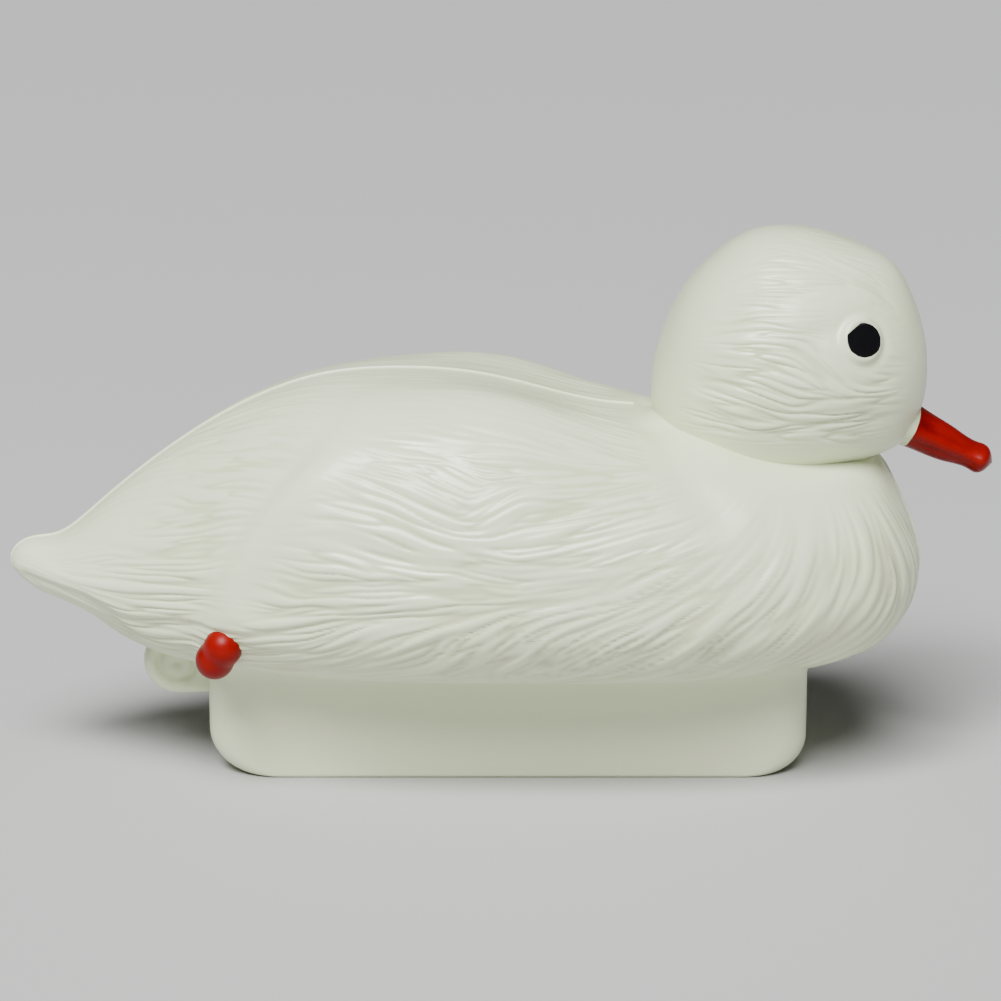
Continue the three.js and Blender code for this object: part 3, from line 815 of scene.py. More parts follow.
@dataclass
class Trunk:
    """The hollow-moulded body from tail to breast, in two halves that meet on the parting line."""

    tail_x: float = -180.0
    breast_x: float = 153.9
    tip_z: float = 78.0
    neck: Tuple[float, float, float] = (95.5, 0.0, 127.9)
    neck_lean: float = 13.7
    neck_radius: float = 40.0
    wing: Tuple[float, float, float, float, float] = (5.0, 34.0, 38.0, 16.0, 4.4)
    flank_step: float = 2.2
    flank_lean: float = 0.85
    flank_fade: float = 70.0
    roll: float = 1.0
    collar_rise: float = 1.6
    valley_depth: float = 2.2
    crease_depth: float = 1.1
    thigh: Tuple[float, float, float] = (-88.5, 57.0, 70.0)
    strand_depth: float = 0.95
    tuft_depth: float = 0.4
    rows: int = 308
    columns: int = 318
    back_line: Points2 = ((-180, 78), (-176, 84.8), (-170, 86.8), (-161, 88.8), (-147, 99.8), (-123, 119.2),
                          (-99, 134.6), (-65, 147.9), (-38, 150.4), (-5, 147.7), (39, 137.6), (55, 136.4),
                          (100, 128), (136, 117.5), (149.3, 96.5), (153.9, 78))
    belly_line: Points2 = ((-180, 78), (-176, 71.8), (-170, 67.2), (-160, 63.6), (-149, 58.6), (-137, 50),
                           (-124, 44.5), (-108, 41.5), (-80, 39.5), (0, 38.5), (70, 39), (114, 41.8),
                           (137, 48.6), (148, 60.4), (153.9, 78))
    half_width: Points2 = ((-180, 0), (-176, 8), (-165, 16.5), (-148, 27), (-125, 40), (-95, 56), (-55, 69),
                           (-10, 74.5), (35, 74.5), (75, 70.5), (110, 60.5), (135, 46), (148, 28), (153.9, 0))
    widest_z: Points2 = ((-180, 78), (-165, 75), (-145, 73), (-110, 76), (-60, 80), (0, 82), (60, 80),
                         (120, 79), (153.9, 78))
    square_above: Points2 = ((-180, 2), (-150, 1.85), (-110, 2), (-70, 2.3), (-20, 2.6), (20, 2.6),
                             (70, 2.35), (120, 2.1), (153.9, 2))
    square_below: Points2 = ((-180, 2), (-130, 2), (-60, 2.45), (0, 2.55), (60, 2.5), (120, 2.2), (153.9, 2))
    flank_edge: Points2 = ((40, -108), (65, -102.5), (77, -98.5), (93, -91), (108, -81.5), (127, -65),
                           (141, -53), (150, -45))
    valley: Points3 = ((57, 30, 135), (62, 42, 130), (67, 55, 120), (76, 61, 111))
    tail_crease: Points2 = ((-174, 73.5), (-162, 71.5), (-152, 69.5), (-143, 64.5), (-137, 57), (-130, 51))
    halves: Dict[Half, Array] = field(default_factory=dict)

    def __post_init__(self) -> None:
        """Solve the curves."""
        length = self.breast_x - self.tail_x

        def station(x: Array) -> Array:
            """Crowd the stations at both rounded ends."""
            return np.arccos(np.clip(1 - 2 * (x - self.tail_x) / length, -1, 1)) / np.pi

        self.length = length
        self.back_z = SmoothCurve(self.back_line, station)
        self.belly_z = SmoothCurve(self.belly_line, station)
        self.width_at = SmoothCurve(self.half_width, station)
        self.widest_at = SmoothCurve(self.widest_z, station)
        self.above_at = SmoothCurve(self.square_above, station)
        self.below_at = SmoothCurve(self.square_below, station)
        self.edge_x = SmoothCurve(self.flank_edge)
        lean = np.radians(self.neck_lean)
        self.neck_forward = np.array([np.cos(lean), 0.0, -np.sin(lean)])
        pole = (self.neck[0] - self.tail_x) * 2 / length - 1
        self.neck_pole = pole / (1 + np.sqrt(1 - pole**2))

    def smooth(self, direction: Array) -> Array:
        """Return the smooth body's points, one for every direction of a unit ball."""
        x = self.tail_x + self.length * (1 + np.clip(direction[..., 0], -1, 1)) / 2
        off = np.maximum(np.hypot(direction[..., 1], direction[..., 2]), 1e-9)
        across, up = direction[..., 1] / off, direction[..., 2] / off
        power = np.where(up > 0, self.above_at(x), self.below_at(x))
        reach = (np.abs(across) ** power + np.abs(up) ** power) ** (-1 / power)
        middle = self.widest_at(x)
        height = np.where(up > 0, self.back_z(x) - middle, middle - self.belly_z(x))
        return np.stack([x, self.width_at(x) * across * reach, middle + height * up * reach], axis=-1)

    def under(self, x: Array, y: Array) -> Array:
        """Return the height of the smooth belly above or below a place."""
        share = np.clip(np.abs(y) / np.maximum(self.width_at(x), 1e-6), 0, 0.999)
        power = self.below_at(x)
        drop = (1 - share**power) ** (1 / power)
        middle = self.widest_at(x)
        return middle - (middle - self.belly_z(x)) * drop

    def lay(self, spread: Array, lie: Array) -> Array:
        """Return the unit ball's direction on a line that runs from the neck to the tail.

        Args:
            spread: How far along the line.
            lie: The angle at which the line leaves the neck.

        Returns:
            The directions.
        """
        real, imaginary = np.exp(spread) * np.cos(lie), np.exp(spread) * np.sin(lie)
        above = (self.neck_pole + real, imaginary)
        below = (1 - real, -imaginary)
        above_square = above[0] ** 2 + above[1] ** 2
        below_square = below[0] ** 2 + below[1] ** 2
        direction = np.stack([
            2 * (above[0] * below[0] + above[1] * below[1]),
            2 * (above[1] * below[0] - above[0] * below[1]),
            below_square - above_square,
        ], axis=-1)
        return direction / (below_square + above_square)[..., None]

    def _layout(self) -> Tuple[Array, Array]:
        """Return the spreads of the rows and the lies of the columns."""
        spreads = np.linspace(-1.9, 3.3, 1600)
        path = self.smooth(self.lay(spreads, np.full_like(spreads, 1.3)))
        from_neck = np.linalg.norm(path - np.array(self.neck), axis=-1)
        closer = 1 + 0.8 * bell(path[:, 0] + 88, 16) + 0.5 * bell(from_neck - 46, 12)
        cuts = even_steps(path, self.rows - 1, closer)
        rows = np.interp(cuts, np.linspace(0, 1, len(spreads)), spreads)
        middle = -0.1
        angles = np.linspace(0, np.pi, 1600)
        off = np.sqrt(1 - middle**2)
        ring = np.stack([np.full_like(angles, middle), -off * np.sin(angles), -off * np.cos(angles)], axis=-1)
        path = self.smooth(ring)
        seen = 0.55 + 0.45 * ease(path[:, 2], 42, 60)
        cuts = even_steps(path, self.columns - 1, seen)
        turns = np.interp(cuts, np.linspace(0, 1, len(angles)), angles)[1:-1]
        ring = np.stack([np.full_like(turns, middle), -off * np.sin(turns), -off * np.cos(turns)], axis=-1)
        flat = ring[:, 0] / (1 + ring[:, 2]), ring[:, 1] / (1 + ring[:, 2])
        lies = np.arctan2(flat[1], flat[0] - self.neck_pole) - np.arctan2(flat[1], flat[0] + 1)
        return rows, np.concatenate([[0.0], lies, [-np.pi]])

    def ahead_of_edge(self, points: Array) -> Array:
        """Return how far points lie in front of the flank's rear edge."""
        return self.flank_lean * (points[..., 0] - self.edge_x(points[..., 2]))

    def forms(self, points: Array) -> Array:
        """Return the rise of the wings, flank, collar, valley, crease and thigh.

        Args:
            points: Points of the smooth body.

        Returns:
            The rise at each point.
        """
        near = near_side(points)
        x, y, z = near[..., 0], near[..., 1], near[..., 2]
        at_x, reach, at_y, width, height = self.wing
        wing = height * bell(x - at_x, reach) * bell(y - at_y, width) * ease(z, 100, 120)
        ahead = self.ahead_of_edge(near)
        on_side = ease(y, 16, 38) * ease(z, 44, 56)
        edge = self.flank_step * ease(ahead, -7, 1) * np.exp(-np.maximum(ahead, 0) / self.flank_fade)
        flank = on_side * (1 - 0.75 * ease(z, 118, 142)) * (edge + self.roll * bell(ahead - 4, 6))
        from_neck = near - np.array(self.neck)
        ring = np.hypot(from_neck @ self.neck_forward, y) - self.neck_radius
        at_collar = ease(from_neck[..., 0], -42, -12) * ease(z, self.tip_z, self.tip_z + 20)
        collar = self.collar_rise * bell(ring - 3, 7) * at_collar
        valley = -self.valley_depth * bell(line_distance(near, self.valley), 8)
        flat = near * np.array([1.0, 0.0, 1.0])
        crease_line = [(x, 0.0, z) for x, z in self.tail_crease]
        crease = -self.crease_depth * bell(line_distance(flat, crease_line), 2.6) * ease(y, 4, 10)
        thigh = 1.6 * bell(np.linalg.norm(near - np.array(self.thigh), axis=-1), 8)
        return wing + flank + collar + valley + crease + thigh

    def strand_share(self, points: Array) -> Array:
        """Return how deep the strands are cut, from 0 to 1."""
        near = near_side(points)
        x, y, z = near[..., 0], near[..., 1], near[..., 2]
        off_edge = 1 - 0.93 * bell(self.ahead_of_edge(near) - 3, 11) * ease(y, 16, 38) * ease(z, 62, 72)
        from_neck = near - np.array(self.neck)
        ring = np.hypot(from_neck @ self.neck_forward, y) - self.neck_radius
        off_collar = np.where(z > self.tip_z, ease(ring, 8, 28), 1)
        off_valley = 1 - 0.9 * bell(line_distance(near, self.valley), 13)
        off_back = 1 - 0.86 * ease(z, 126, 146)
        off_belly = 0.25 + 0.75 * ease(z, 40, 52)
        off_tip = 0.2 + 0.8 * ease(x, self.tail_x + 8, self.tail_x + 60)
        off_rump = 1 - 0.75 * ease(-self.ahead_of_edge(near), 22, 44) * ease(z, 80, 96)
        off_centre = ease(y, 0.6, 9)
        along_side = off_edge * off_collar * off_valley * off_rump
        return along_side * off_back * off_belly * off_tip * off_centre

    def build(self, finish: bpy.types.Material) -> List[bpy.types.Object]:
        """Make both halves.

        Args:
            finish: Their material.

        Returns:
            The two pieces.
        """
        rows, lies = self._layout()
        spread, lie = np.meshgrid(rows, lies, indexing="ij")
        base = self.smooth(self.lay(spread, lie))
        base[:, [0, -1], 1] = 0.0
        outwards = unit(np.cross(np.gradient(base, axis=1), np.gradient(base, axis=0)))
        sign = np.sign((outwards * (base - np.array([0.0, 0.0, 85.0]))).sum(axis=-1).mean())
        outwards[:, [0, -1], 1] = 0.0
        shaped = base + sign * unit(outwards) * self.forms(base)[..., None]
        comb = Comb(shaped, BODY_STRANDS, 0.0, 26.0)
        broad_breast = ease(shaped[..., 0], 60, 110)
        fine, wide, tuft = comb.flow([Lattice(2.0, 11), Lattice(2.9, 12), Lattice(5.6, 13)], [21.0, 30.0, 34.0])
        share = self.strand_share(shaped)
        pieces = []
        neck_top = self.smooth(self.lay(np.array(-12.0), np.array(0.0)))
        tip = np.array([self.tail_x, 0.0, self.tip_z])
        for half in Half:
            strand = strand_profile(fine[half], 1.5) * (1 - broad_breast)
            strand += strand_profile(wide[half], 1.5) * broad_breast
            relief = strand - 0.62
            depth = self.strand_depth * (0.78 + 0.22 * broad_breast)
            rise = share * (depth * relief + self.tuft_depth * tuft[half] * 0.6)
            points = shaped + sign * unit(outwards) * rise[..., None]
            points[:, [0, -1], 1] = 0.0
            if half is Half.LEFT:
                points = mirrored(points)
            self.halves[half] = points
            corners, faces, wall = half_loft(points, neck_top, tip)
            # The relief is low in the strand grooves, where the finish paints shade.
            hollow = np.concatenate([[0.8], (1 - share * (1 - strand)).ravel(), [0.8]])
            name = f"body_{half.name.lower()}"
            piece = mesh_object(name, corners, faces, {"relief": hollow}, wall)
            pieces.append(dressed(piece, finish, ["body"]))
        return pieces


@dataclass
class Keel:
    """The plate below the body that the decoy stands on."""

    back: float = -107.5
    front: float = 113.0
    half_sole: float = 20.0
    half_top: float = 22.0
    edge: float = 1.4
    corner_back: float = 17.0
    corner_front: float = 14.0
    plan: float = 12.0
    fillet: float = 2.4
    levels: int = 72
    around: int = 220

    def build(self, trunk: Trunk, finish: bpy.types.Material) -> bpy.types.Object:
        """Make the keel.

        Args:
            trunk: The body that it hangs from.
            finish: Its material.

        Returns:
            The piece.
        """
        share = np.linspace(0, 1, self.levels) ** 1.5
        outline = np.linspace(0, 1, self.around, endpoint=False)
        grid = np.zeros((self.levels, self.around, 3))
        for level, part in enumerate(share):
            guess = np.full(self.around, 38.0) * part
            for _ in range(3):
                x, y = self._ring(guess, outline, part)
                guess = part * (trunk.under(x, y) + 3.0)
            grid[level] = np.stack([x, y, guess], axis=-1)
        middle = (self.back + self.front) / 2
        corners, faces = ring_loft(grid, np.array([middle, 0.0, 0.0]), np.array([middle, 0.0, 42.0]))
        relief = np.full(len(corners), 0.9)
        piece = mesh_object("keel", corners, faces, {"relief": relief})
        return dressed(piece, finish)

    def _ring(self, z: Array, outline: Array, part: float) -> Tuple[Array, Array]:
        """Return the outline at a height, with rounded lower corners and a fillet at the top."""
        top = 58.0
        round_back = self.corner_back - np.sqrt(self.corner_back**2 - np.maximum(self.corner_back - z, 0) ** 2)
        round_front = self.corner_front - np.sqrt(
            self.corner_front**2 - np.maximum(self.corner_front - z, 0) ** 2)
        soft = self.edge * (1 - np.sqrt(np.clip(1 - np.maximum(1 - z / self.edge, 0) ** 2, 0, 1)))
        flare = self.fillet * max(0.0, (part - 0.82) / 0.18) ** 2
        half = self.half_sole + (self.half_top - self.half_sole) * z / top - soft + flare
        low, high = self.back + round_back - flare, self.front - round_front + flare
        straight_x, straight_y = high - low - 2 * self.plan, 2 * half - 2 * self.plan
        arc = np.pi * self.plan / 2
        total = 2 * straight_x + 2 * straight_y + 4 * arc
        place = outline * total
        x, y = np.zeros_like(place), np.zeros_like(place)
        start = np.zeros_like(place)
        corners = ((high - self.plan, half - self.plan, 0, straight_x, (-1, 0)),
                   (low + self.plan, half - self.plan, 1, straight_y, (0, -1)),
                   (low + self.plan, self.plan - half, 2, straight_x, (1, 0)),
                   (high - self.plan, self.plan - half, 3, straight_y, (0, 1)))
        for centre_x, centre_y, quarter, run, way in corners:
            on_arc = (place >= start) & (place < start + arc)
            angle = (quarter + (place - start) / arc) * np.pi / 2
            x = np.where(on_arc, centre_x + self.plan * np.cos(angle), x)
            y = np.where(on_arc, centre_y + self.plan * np.sin(angle), y)
            start = start + arc
            on_run = (place >= start) & (place <= start + run + 1e-6)
            stop = (quarter + 1) * np.pi / 2
            x = np.where(on_run, centre_x + self.plan * np.cos(stop) + way[0] * (place - start), x)
            y = np.where(on_run, centre_y + self.plan * np.sin(stop) + way[1] * (place - start), y)
            start = start + run
        return x, y


@dataclass
class LineTie:
    """The round tab behind the keel, with a ring groove and a dimple on both faces."""

    x: float = -119.5
    z: float = 39.8
    radius: float = 12.6
    half: float = 4.6
    groove: float = 6.6
    web_reach: float = 15.0
    rings: int = 72
    around: int = 96

    def build(self, finish: bpy.types.Material) -> bpy.types.Object:
        """Make the tab.

        Args:
            finish: Its material.

        Returns:
            The piece.
        """
        share = np.linspace(0, 1, self.rings)
        radius = self.radius * np.sin(share * np.pi / 2) ** 0.9
        rim = np.clip((radius - (self.radius - 3.4)) / 3.4, 0, 1)
        height = self.half * np.sqrt(np.clip(1 - rim**2.4, 0, 1)) + 0.0
        height = height - 1.5 * bell(radius - self.groove, 1.5) - 0.9 * bell(radius, 1.6)
        height[-1] = 0.0
        angle = np.linspace(0, 2 * np.pi, self.around, endpoint=False)
        rings = []
        for side in (-1.0, 1.0):
            order = slice(1, None) if side < 0 else slice(-2, 0, -1)
            for r, h in zip(radius[order], height[order]):
                beyond = ease(r, self.groove + 1.5, self.radius) * ease(np.cos(angle), -0.2, 0.6)
                run = r * np.cos(angle) + self.web_reach * beyond * np.abs(np.sin(angle)) ** 0.6
                ring = [self.x + run, np.full_like(angle, side * h), self.z + r * np.sin(angle)]
                rings.append(np.stack(ring, axis=-1))
        ends = [np.array([self.x, side * height[0], self.z]) for side in (-1.0, 1.0)]
        corners, faces = ring_loft(np.array(rings), *ends)
        piece = mesh_object("line_tie", corners, faces, {"relief": np.full(len(corners), 0.85)})
        return dressed(piece, finish)


@dataclass
class Foot:
    """A painted foot: two lobes that have grown together."""

    x: float = -100.6
    y: float = 51.0
    z: float = 56.6
    upper: Tuple[float, float, float] = (1.7, 1.4, 2.8)
    lower: Tuple[float, float, float] = (-1.7, -1.4, -2.8)
    radius: Tuple[float, float, float] = (6.9, 6.8, 7.0)
    melt: float = 0.14
    rings: int = 56
    around: int = 80

    def build(self, half: Half, finish: bpy.types.Material) -> bpy.types.Object:
        """Make one foot.

        Args:
            half: The side that it is on.
            finish: Its material.

        Returns:
            The piece.
        """
        polar = np.linspace(0, np.pi, self.rings + 2)[1:-1]
        angle = np.linspace(0, 2 * np.pi, self.around, endpoint=False)
        tilt, turn = np.meshgrid(polar, angle, indexing="ij")
        rays = np.stack([np.sin(tilt) * np.cos(turn), np.cos(tilt), np.sin(tilt) * np.sin(turn)], axis=-1)
        grid = rays * self._reach(rays)[..., None]
        ends = [np.array([0.0, s, 0.0]) * self._reach(np.array([[0.0, s, 0.0]]))[0] for s in (1.0, -1.0)]
        corners, faces = ring_loft(grid, *ends)
        corners = corners + np.array([self.x, self.y, self.z])
        if half is Half.RIGHT:
            corners = mirrored(corners)
        faces = outward(corners, faces)
        # The paint is darker red on the side against the body and paler on the outer face: painted shade where the
        # foot meets the body.
        relief = ease(np.abs(corners[:, 1]) - self.y, -2, 7)
        piece = mesh_object(f"foot_{half.name.lower()}", corners, faces, {"relief": relief})
        return dressed(piece, finish)

    def _reach(self, rays: Array) -> Array:
        """Return the distance from the foot's middle to its surface along each ray."""
        low, high = np.zeros(rays.shape[:-1]), np.full(rays.shape[:-1], 16.0)
        for _ in range(24):
            middle = (low + high) / 2
            points = rays * middle[..., None]
            gaps = []
            for lobe in (self.upper, self.lower):
                gaps.append(np.linalg.norm((points - np.array(lobe)) / np.array(self.radius), axis=-1) - 1)
            soft = -self.melt * np.log(sum(np.exp(-gap / self.melt) for gap in gaps))
            inside = soft < 0
            low, high = np.where(inside, middle, low), np.where(inside, high, middle)
        return (low + high) / 2


@dataclass
class Head:
    """The round head with its cheeks, eyes and brows, set on the neck."""

    neck: Tuple[float, float, float] = (95.5, 0.0, 127.9)
    lean: float = 13.7
    top: float = 75.4
    low: float = -12.0
    square: float = 2.1
    taper: float = 0.12
    level: float = 9.0
    rings: int = 300
    columns: int = 162
    strand_depth: float = 0.75
    eye: Tuple[float, float, float] = (128.3, 37.2, 168.0)
    eye_outward: Tuple[float, float, float] = (0.42, 0.86, 0.22)
    eye_rise: float = 1.3
    face_line: Points2 = ((-12, 29), (-6, 34.5), (0, 40.5), (4, 46), (8, 50.4), (14, 53), (23, 54.2),
                          (35, 52.8), (45, 49.6), (56, 43.8), (66, 36), (72, 27), (75.4, 1))
    nape_line: Points2 = ((-12, -35), (0, -41.5), (15, -44.4), (29, -43.8), (45, -39.8), (59, -32),
                          (68, -23.5), (73, -13.5), (75.4, 1))
    cheek_line: Points2 = ((-12, 31), (0, 38.2), (8, 42), (20, 44.8), (32, 45.4), (44, 43.2), (55, 37.8),
                           (65, 29), (71.5, 19), (75.4, 0))

    def __post_init__(self) -> None:
        """Solve the curves."""

        def step(height: Array) -> Array:
            """Even steps over the crown."""
            return np.arcsin(np.clip((height - self.low) / (self.top - self.low), 0, 1)) / (np.pi / 2)

        self.face_at = SmoothCurve(self.face_line, step)
        self.nape_at = SmoothCurve(self.nape_line, step)
        self.cheek_at = SmoothCurve(self.cheek_line, step)
        lean = np.radians(self.lean)
        self.axis = np.array([np.sin(lean), 0.0, np.cos(lean)])
        self.forward = np.array([np.cos(lean), 0.0, -np.sin(lean)])

    def eye_frame(self) -> Tuple[Array, Array, Array]:
        """Return the eye's outward, forward and upward directions on the left side."""
        out = unit(np.array(self.eye_outward))
        ahead = unit(np.array([1.0, 0.0, 0.0]) - out[0] * out)
        up = np.cross(ahead, out)
        return out, ahead, up if up[2] > 0 else -up

    def surface(self, height: Array, angle: Array) -> Array:
        """Return points of the smooth head."""
        ahead, aside = np.cos(angle), np.sin(angle)
        reach = (np.abs(ahead) ** self.square + np.abs(aside) ** self.square) ** (-1 / self.square)
        face, nape = self.face_at(height), self.nape_at(height)
        forward = (face + nape) / 2 + (face - nape) / 2 * ahead * reach
        sideways = self.cheek_at(height) * aside * reach * (1 - self.taper * ahead)
        points = np.array(self.neck) + height[..., None] * self.axis + forward[..., None] * self.forward
        points[..., 1] += sideways
        return points

    def forms(self, points: Array) -> Array:
        """Return the rise of the eyes, lids, sockets and cheeks.

        Args:
            points: Points of the smooth head.

        Returns:
            The rise at each point.
        """
        near = near_side(points)
        _, ahead_way, up_way = self.eye_frame()
        from_eye = near - np.array(self.eye)
        ahead, up = from_eye @ ahead_way, from_eye @ up_way
        on_side = ease(near[..., 1], 14, 24)
        off = np.hypot(ahead, up)
        dome = self.eye_rise * (1 - ease(off, 6.6, 9.4)) - 0.3 * bell(off - 10.2, 1.6)
        lid = 0.75 * bell(off - 7.0, 1.5) * ease(-0.6 * ahead + 0.8 * up, 1.5, 6.5)
        socket = -1.5 * bell((0.94 * ahead + 0.34 * up + 13) / 11, 1.0) * bell((0.94 * up - 0.34 * ahead - 7) / 5, 1.0)
        brow = 0.6 * bell((ahead + 4) / 14, 1.0) * bell((up - 15 + 0.1 * ahead) / 4.5, 1.0)
        cheek = 0.9 * bell((ahead + 12) / 16, 1.0) * bell((up + 17) / 9, 1.0)
        return on_side * (dome + lid + socket + brow + cheek)

    def strand_share(self, height: Array, angle: Array, points: Array) -> Array:
        """Return how deep the strands are cut, from 0 to 1."""
        ahead = np.cos(angle)
        near = near_side(points)
        cheeks = ease(ahead, -0.86, -0.5) * (1 - ease(ahead, 0.45, 0.86))
        heights = ease(height, 0, 9) * (1 - 0.8 * ease(height, 60, 73))
        from_eye = np.linalg.norm(near - np.array(self.eye), axis=-1)
        socket = np.linalg.norm((near - np.array([116.0, 38.0, 178.0])) / np.array([17.0, 30.0, 8.0]), axis=-1)
        return cheeks * heights * ease(from_eye, 10, 18) * (0.25 + 0.75 * ease(socket, 0.7, 1.3))

    def build(self, finish: bpy.types.Material) -> bpy.types.Object:
        """Make the head.

        Args:
            finish: Its material.

        Returns:
            The piece.
        """
        share = np.sin(0.985 * np.pi / 2 * np.linspace(0, 1, self.rings))
        height, angle = np.meshgrid(self.low + (self.top - self.low) * share,
                                    np.linspace(0, -np.pi, self.columns), indexing="ij")
        lifted = height + self.level * np.sin(np.pi * share)[:, None] * np.cos(angle)
        base = self.surface(lifted, angle)
        base[:, [0, -1], 1] = 0.0
        outwards = unit(np.cross(np.gradient(base, axis=1), np.gradient(base, axis=0)))
        sign = np.sign((outwards * (base - np.array([100.0, 0.0, 160.0]))).sum(axis=-1).mean())
        outwards[:, [0, -1], 1] = 0.0
        outwards = sign * unit(outwards)
        shaped = base + outwards * self.forms(base)[..., None]
        comb = Comb(shaped, HEAD_STRANDS, np.pi / 2, 22.0)
        fine, tuft = comb.flow([Lattice(1.75, 21), Lattice(4.4, 22)], [15.0, 24.0])
        depth = self.strand_share(height, angle, shaped)
        sides, reliefs = {}, {}
        for half in Half:
            strand = strand_profile(fine[half], 1.4)
            rise = depth * (self.strand_depth * (strand - 0.6) + 0.22 * tuft[half])
            points = shaped + outwards * rise[..., None]
            points[:, [0, -1], 1] = 0.0
            sides[half] = points if half is Half.RIGHT else mirrored(points)
            # The relief is low in the strand grooves, where the finish paints shade.
            reliefs[half] = 1 - depth * (1 - strand)
        grid = np.concatenate([sides[Half.RIGHT], sides[Half.LEFT][:, -2:0:-1]], axis=1)
        relief = np.concatenate([reliefs[Half.RIGHT], reliefs[Half.LEFT][:, -2:0:-1]], axis=1)
        bottom = np.array(self.neck) + self.low * self.axis
        crown = np.array(self.neck) + self.top * self.axis + self.forward
        corners, faces = ring_loft(grid, bottom, crown)
        values = {"relief": np.concatenate([[1.0], relief.ravel(), [1.0]])}
        piece = mesh_object("head_shell", corners, faces, values)
        return dressed(piece, finish, ["head"])


@dataclass
class Bill:
    """The painted bill, with soft ridges along its sides and two nostril hollows."""

    root: Tuple[float, float, float] = (146.0, 0.0, 130.5)
    dip: float = 25.0
    length: float = 37.5
    paint_from: float = 4.3
    above: Points2 = ((-4, 10.5), (0, 9), (5, 7.8), (10, 7), (20, 5.7), (30, 4.6), (35, 3.6), (37.5, 0))
    below: Points2 = ((-4, 8.6), (0, 8.2), (7, 7.7), (14, 7.5), (21, 6.8), (30, 5.7), (35, 4.4), (37.5, 0))
    side: Points2 = ((-4, 18.5), (0, 16), (5, 13.4), (10, 11.8), (20, 10), (30, 8.8), (35, 6.8), (37.5, 0))
    rings: int = 96
    around: int = 112

    def axes(self) -> Tuple[Array, Array]:
        """Return the bill's forward and upward directions."""
        dip = np.radians(self.dip)
        return np.array([np.cos(dip), 0.0, -np.sin(dip)]), np.array([np.sin(dip), 0.0, np.cos(dip)])

    def build(self, finish: bpy.types.Material) -> bpy.types.Object:
        """Make the bill.

        Args:
            finish: Its material.

        Returns:
            The piece.
        """
        forward, upward = self.axes()
        share = np.linspace(0, 1, self.rings + 1)[:-1]
        distance = -4 + (self.length + 4) * np.sin(share * np.pi / 2)
        angle = np.linspace(0, 2 * np.pi, self.around, endpoint=False)
        along, turn = np.meshgrid(distance, angle, indexing="ij")
        above, below = SmoothCurve(self.above)(along), SmoothCurve(self.below)(along)
        aside, over = np.cos(turn), np.sin(turn)
        height = np.where(over > 0, above, below)
        middle = bell((along - 14) / 16, 1.0)
        degrees = np.degrees(np.arctan2(over, np.abs(aside)))
        groove = -0.55 * bell(degrees - 30, 12) * ease(along, 3, 9) * (1 - ease(along, 20, 29))
        ridge = 0.3 * bell(degrees - 4, 12) * ease(along, 3, 9) * (1 - ease(along, 26, 35))
        nostril = -0.5 * bell((along - 9.5) / 3.4, 1.0) * bell((degrees - 36) / 13, 1.0)
        lip = -0.4 * bell(degrees + 24, 6) * middle
        swell = 1 + (groove + ridge + nostril + lip) / 9.0
        centre = np.array(self.root) + along[..., None] * forward
        grid = centre + (height * over * swell)[..., None] * upward
        grid[..., 1] += SmoothCurve(self.side)(along) * aside * swell
        start = np.array(self.root) - 4 * forward
        tip = np.array(self.root) + self.length * forward
        corners, faces = ring_loft(grid, start, tip)
        # Lower in the grooves, nostrils and lip line, where the red is darkened as painted shade; higher on the
        # ridges.
        relief = np.clip(0.7 + (groove + ridge + nostril + lip) * 0.6, 0, 1)
        values = {"relief": np.concatenate([[0.5], relief.ravel(), [0.6]])}
        piece = mesh_object("bill", corners, faces, values)
        return dressed(piece, finish)


